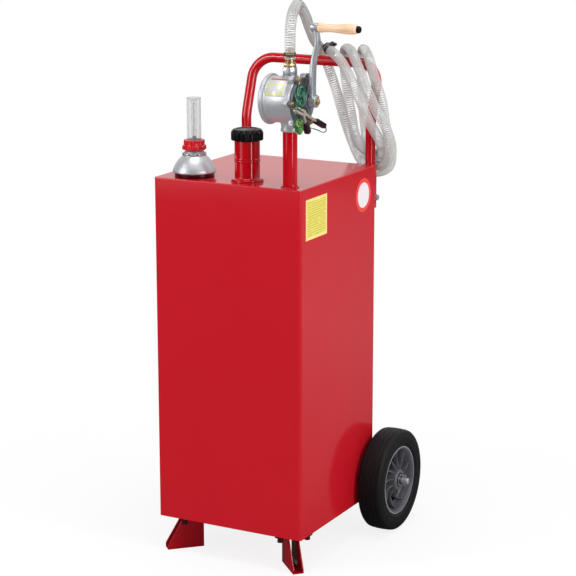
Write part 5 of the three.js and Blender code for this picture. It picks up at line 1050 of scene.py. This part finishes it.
def crank():
    line = catmull([
        (213.5, -2), (212.2, 22), (213.0, 55), (214.6, 86), (220.4, 114), (224.6, 131),
        (223.6, 150), (219.3, 168),
    ], 6)
    outs = [Vector((ahead.y, -ahead.x)) * 4.75 for ahead in headings(line)]
    left = [point - out for point, out in zip(line, outs)]
    right = [point + out for point, out in zip(line, outs)]
    bar = prism([*left, *reversed(right)], 0, lambda corner: 22, 0)
    moved(bar, turn(QUARTER, "X"), at(y=11))
    for vertex in bar.verts:
        vertex.co.y *= 1 - min(max(vertex.co.z / CRANK_REACH, 0), 1) * 7 / 22
    rounded_edges(bar, 2.2, 4, 60)
    hub = [(7.3, 0, 0.5), (12.6, 0, 1), (13.5, 3, 1), (13.5, 18, 1.6), (4.4, 18, 0.5), (4.4, 13)]
    boss = [(4.3, 0, 0.5), (10.5, 0, 1.2), (10.5, 15, 1.2), (4.3, 15, 0.5)]
    hub = along_x(lathe([*hub, (7.3, 13)], MID), 206, 0, 0)
    boss = along_x(lathe(boss, MID), 211.5, 0, CRANK_REACH)
    arm = shifted(gathered(bar, hub, boss), 0, RISER[1], PUMP_HEIGHT)
    finished(arm, "crank_lever", CRANK, "crank_arm", body="crank", sharp=40)
    dome = turned([(0, 1.6), (2.4, 1.3), (4.4, 0.4), (5, 0), (0, 0)], 32)
    bolt = strung(
        RISER[1], PUMP_HEIGHT, (219.9, rod(4, 5, 0.3)), (224.3, rod(8.4, 1.5, 0.5)),
        (225.6, hexagon(12.75, 3.2, 0.5)), (228.7, dome),
    )
    finished(bolt, "crank_dome_bolt", BRASS, "crank_bolt", body="crank")
    knob = (RISER[1], PUMP_HEIGHT + CRANK_REACH)
    pin = strung(*knob, (208.2, rod(6, 3, 1)), (211.2, rod(4, 116.9)), (226.5, rod(7.6, 1.1, 0.3)))
    finished(pin, "grip_spindle", STEEL, "grip_pin", body="crank")
    stops = [
        (9.2, 0), (10.9, 1.6), (11.2, 5), (10.2, 13), (9.0, 25), (9.1, 38), (10.2, 52),
        (11.4, 67), (11.7, 78), (11.2, 88), (10.1, 95), (8.9, 97),
    ]
    grip = along_x(turned([(4.3, 0), *catmull(stops, 4), (4.3, 97)], MID), 227.4, *knob)
    finished(grip, "turned_grip", WOOD, "wooden_grip", body="grip", sharp=45)
    cap = lathe([(0, 0), (8.2, 0, 0.6), (8.2, 5, 2), (6.4, 8, 2), (0, 8)], SMALL)
    finished(along_x(cap, 324.3, *knob), "grip_tip", BLACK, "grip_end_cap", body="crank")


def outlet():
    adapter = gathered(
        shifted(hexagon(32, 17.5, 1.4), *RISER, 1110.6),
        shifted(ring(8, 14.5, 2, 0.5), *RISER, 1127.4),
        shifted(ring(8, 15.2, 1.2, 0.4), *RISER, 1109.6),
    )
    finished(adapter, "hex_adapter", CRANK, "outlet_adapter")
    ridges = []
    for foot in (17, 23, 29, 35):
        ridges += [(8.0, foot + 0.6), (9.6, foot + 1.2), (8.2, foot + 5.6)]
    stem = turned([
        (6, 0), (11, 0), (11, 8), (13.4, 8.4), (13.4, 9.8), (10.6, 10.4), (10.6, 16.4),
        (8.2, 17), *ridges, (7.2, 41), (6, 41),
    ], MID)
    barb = shifted(gathered(hexagon(28, 8, 0.9), stem), *RISER, 1129.1)
    finished(barb, "brass_barb", BRASS, "hose_barb")
    clip = shifted(clip_shape(-1.1), *RISER, 1152.6)
    finished(clip, "pump_clip", OLD_BRASS, "pump_hose_clip")


def handle_line():
    """The handle's middle line, with its four corners bent to their radii."""
    points = [(-LEG_X, LEG_Y, 747), (-LEG_X, LEG_Y, 948), (-LEG_X, BAR_Y, 1090)]
    points += [(-x, y, z) for x, y, z in reversed(points)]
    corners = [Vector(point) for point in points]
    line = [corners[0]]
    for i, (radius, steps) in enumerate(((90, 6), (55, 22), (55, 22), (90, 6)), 1):
        into = (corners[i] - corners[i - 1]).normalized()
        out = (corners[i + 1] - corners[i]).normalized()
        bend = into.angle(out)
        start = corners[i] - into * radius * tan(bend / 2)
        normal = (out - into * into.dot(out)).normalized()
        for step in range(steps + 1):
            angle = bend * step / steps
            across, along = radius * (1 - cos(angle)), radius * sin(angle)
            line.append(start + normal * across + into * along)
    return [*line, corners[-1]]


def handle():
    strand("handle_bar", handle_line(), 25, TUBE_SHADE_RED, "handle_tube", sides=8)
    for name, side in SIDES.items():
        node = f"handle_socket_{name}"
        finished(softened(node, 0.8), f"socket_{name}", RED, node)
        x = side * LEG_X
        bolt = strung(
            *LEG_BOLT, (x - 21.5, rod(4, 43)), (x - 17.4, ring(4.2, 8, 1.2)),
            (x + 16.2, ring(4.2, 8, 1.2)), (x - 22.4, hexagon(13, 5)), (x + 17.4, hexagon(13, 5)),
        )
        finished(bolt, f"socket_bolt_{name}", STEEL, f"handle_bolt_{name}")
        for edge, place in ((-16.4, "inner"), (16.4, "outer")):
            places = [at(x + edge, 198.6, 742 + 101 * i / 79) for i in range(80)]
            weld(f"socket_weld_{name}_{place}", places, 1.7, 0.14, 5.7, 2.3)


def tyre_shape():
    tread = []
    for middle in (-18, -6, 6, 18):
        crown = 129.6 - 2.6 * (middle / 32) ** 2
        tread += [(crown, middle - 1.4, 0.4), (crown - 1.3, middle - 0.7)]
        tread += [(crown - 1.3, middle + 0.7), (crown, middle + 1.4, 0.4)]
    flank = [(84.3, 22), (86.5, 27, 2), (94, 31, 3), (110, 32, 8), (124, 30, 6), (127.6, 25.5, 2.4)]
    inner = [(radius, -height, *fillet) for radius, height, *fillet in flank]
    return lathe([*inner, *tread, *reversed(flank)], 160, 5)


def rib_top(corner):
    share = (hypot(corner.x, corner.y) - 24) / 53
    return 22 - 9 * sin(pi * share) - 3 * share


def rim_shape():
    rim = lathe([
        (78, -20), (84, -22, 0.6), (84, 22), (87.4, 24.5, 0.8), (87.4, 26.6, 0.8),
        (81.5, 27.4, 1.4), (78.5, 22, 2), (75, 4, 4), (70, -1, 3), (24, -1), (24, -5), (78, -5),
    ], 128)
    corners = [(17.8, -29), (27, -29, 1.4), (27, -6), (27, 26, 3), (24, 29, 1.4), (17.8, 29, 0.8)]
    parts = [rim, lathe(corners)]
    for i in range(10):
        inner, outer = [], []
        for step in range(9):
            share = step / 8
            radius = 24 + 53 * share
            angle = FULL * i / 10 + 0.62 * share**1.4
            for flank, side in ((inner, -2.4 / radius), (outer, 2.4 / radius)):
                flank.append((radius * cos(angle + side), radius * sin(angle + side)))
        parts.append(prism([*inner, *reversed(outer)], -2, rib_top, 0.7, 50))
    return gathered(*parts)


def wheels():
    for side, way in SIDES.items():
        placed = at(way * WHEEL_MIDDLE, *AXLE) @ turn(way * QUARTER, "Y")
        collar = shifted(ring(10.4, 15.6, 1, 0.3, MID), z=58)
        bush = gathered(ring(8.4, 17.4, 58.4, 0.8, MID), collar)
        race = gathered(*[ring(*radii, 0.7, 0.2, MID) for radii in ((12.6, 15), (8.8, 10.2))])
        # A near-black disc on the pockets' floor is painted shade; a pale thin ring on the rim's
        # edge is a painted highlight.
        lip_highlight, pocket_shade = ring(84.4, 86.6, 0.6, 0.2, 128), ring(28, 70, 0.6, 0, ROUND)
        for shape, out, name, finish, nodes, sharp in (
            (tyre_shape(), 0, "solid_tyre", RUBBER, ["tyre"], 45),
            (rim_shape(), 0, "spoked_rim", RIM_GREY, ["rim"], 45),
            (bush, -29.2, "wheel_bearing", BLACK, ["wheel_bush"], 32),
            (pocket_shade, -0.9, "rim_pocket_shade", POCKET_SHADE, [], 32),
            (lip_highlight, 26.9, "rim_edge_highlight", RIM_EDGE_HIGHLIGHT, [], 32),
            (race, 30, "bearing_race", STEEL, [], 32),
        ):
            nodes = [f"{node}_{side}" for node in nodes]
            moved(shape, at(z=out), placed)
            finished(shape, f"{name}_{side}", finish, *nodes, body=f"wheel_{side}", sharp=sharp)
        washer = moved(ring(8.3, 11.4, 1.6, 0.4, MID), at(z=33), placed)
        finished(washer, f"axle_washer_{side}", DARK_STEEL)
        x, y, z = way * 280, *AXLE
        eye = moved(
            turned([(3.4 + reach, rise) for reach, rise in circled(0.8, 12)], 32),
            turn(QUARTER, "X"), at(x, y, z + 12.4),
        )
        legs = [shifted(rod(0.8, 24, 0.3, 16), x + gap, y, z - 15) for gap in (-0.9, 0.9)]
        finished(gathered(*legs, eye), f"cotter_pin_{side}", STEEL)
    axle = lathe([(0, -290), (8, -290, 2.5), (8, 290, 2.5), (0, 290)], MID, 5)
    finished(along_x(axle, 0, *AXLE), "axle_rod", STEEL, "axle")
    finished(softened("axle_carrier", 0.9), "welded_carrier", RED, "axle_carrier")


def labels():
    panel = block((TANK_SIDE - 0.05, -172, 727.5), (TANK_SIDE + 0.3, -66, 823.5), 0)
    finished(panel, "yellow_panel", PANEL)
    badge = along_x(rod(41.5, 0.35, 0, ROUND), TANK_SIDE - 0.05, 128.8, 786)
    finished(badge, "round_badge", BADGE)


CARRIED_OVER = {
    STEEL: ["gauge_stem", "float_pivot_pin", "pump_shaft"],
    BRASS: ["float_arm", "shaft_bush"],
    BLACK: ["gauge_float", "indicator_rod", "suction_strainer", "vane_upper", "vane_lower"],
    SILVER: ["pump_rotor"],
    SEALING: ["cap_seal"],
    HELIX: ["suction_tube"],
}


def carried_over():
    for finish, names in CARRIED_OVER.items():
        for name in names:
            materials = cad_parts[name].data.materials
            materials.clear()
            materials.append(finish.material)


def floor():
    """A pale disc: nearly white to the camera, and dim where glossy surfaces look at it."""
    shape = bmesh.new()
    bmesh.ops.create_circle(shape, cap_ends=True, segments=96, radius=5000)
    piece = as_object(shifted(shape, z=FLOOR - 0.5), "floor")
    bpy.context.scene.collection.objects.link(piece)
    finish = Finish("pale_floor", Base_Color=grey(238.614), Roughness=0.9, Specular_IOR_Level=0.1)
    east, north, _ = finish.axes(finish.place())
    far = (east**2 + north**2) ** 0.5
    share = finish.ray("Camera") * finish.ranged(far, 0.45, 1.3, 0.84)
    lit = Wire(finish, finish.shader.outputs[0])
    seen = finish.node("MixShader", {0: share, 1: lit, 2: finish.node("Emission")})
    rear = finish.ranged(north, 0.0, 2.0, 0.14, 0.42)
    fading = finish.ranged(far, 2.0, 4.4, 1.0, 0.75)
    right = finish.ranged(east, 0.1, 0.5, 0.3)
    dim = finish.node("Emission", {"Strength": rear * fading * right})
    both = {0: finish.ray("Glossy"), 1: seen, 2: dim}
    output = finish.tree.nodes["Material Output"]
    finish.feed(output.inputs[0], finish.node("MixShader", both))
    piece.data.materials.append(finish.material)


LAMPS = (
    ("left_softbox", (-2.4, -3.0, 2.2), (0, 0, 0.6), (0.5, 2.4), 50),
    ("right_softbox", (3.6, -0.5, 1.9), (0, 0, 0.6), (0.4, 2.4), 56),
    ("top_softbox", (0.3, -0.6, 4.0), (0, 0, 0.6), (2.2, 2.2), 60),
    ("left_card", (-0.66, -1.46, 1.275), (0.15, -0.17, 1.275), (0.62, 1.38), 2.4),
    ("right_card", (1.42, -0.706, 1.24), (0.09, -0.155, 1.24), (0.16, 1.4), 4.0),
)


def studio():
    """A white room that is darker on the camera's side, where glossy surfaces look back into it."""
    world = bpy.data.worlds.new("studio")
    bpy.context.scene.world = world
    world.use_nodes = True
    room = Nodes(world.node_tree)
    _, north, up = room.axes(room.node("TexCoord", output="Generated"))
    rear = room.ranged(north, -0.25, 0.55, 0.14, kind="SMOOTHSTEP")
    above = room.ranged(up, -0.12, 0.1, 0.12, kind="SMOOTHSTEP")
    glossy = room.ray("Glossy")
    clear = room.ray("Camera") + room.ray("Transmission")
    strength = clear.most((glossy * 0.82 * (rear * above)).most((1 - glossy) * 0.62))
    background = room.tree.nodes["Background"]
    room.feed(background.inputs["Color"], grey(255))
    room.feed(background.inputs["Strength"], strength)
    for name, place, aim, (wide, tall), power in LAMPS:
        data = bpy.data.lights.new(name, "AREA")
        data.shape, data.size, data.size_y, data.energy = "RECTANGLE", wide, tall, power
        light = bpy.data.objects.new(name, data)
        bpy.context.scene.collection.objects.link(light)
        light.location, light.visible_camera = place, False
        light.rotation_mode = "QUATERNION"
        light.rotation_quaternion = (Vector(aim) - Vector(place)).to_track_quat("-Z", "Y")
    bpy.context.scene.view_settings.view_transform = "Standard"
    bpy.context.scene.cycles.transparent_max_bounces = 24


set_camera()
hose()
earth_lead()
tank()
feet()
filler()
gauge()
riser()
pump()
pump_plate()
crank()
outlet()
handle()
wheels()
labels()
carried_over()
floor()
studio()
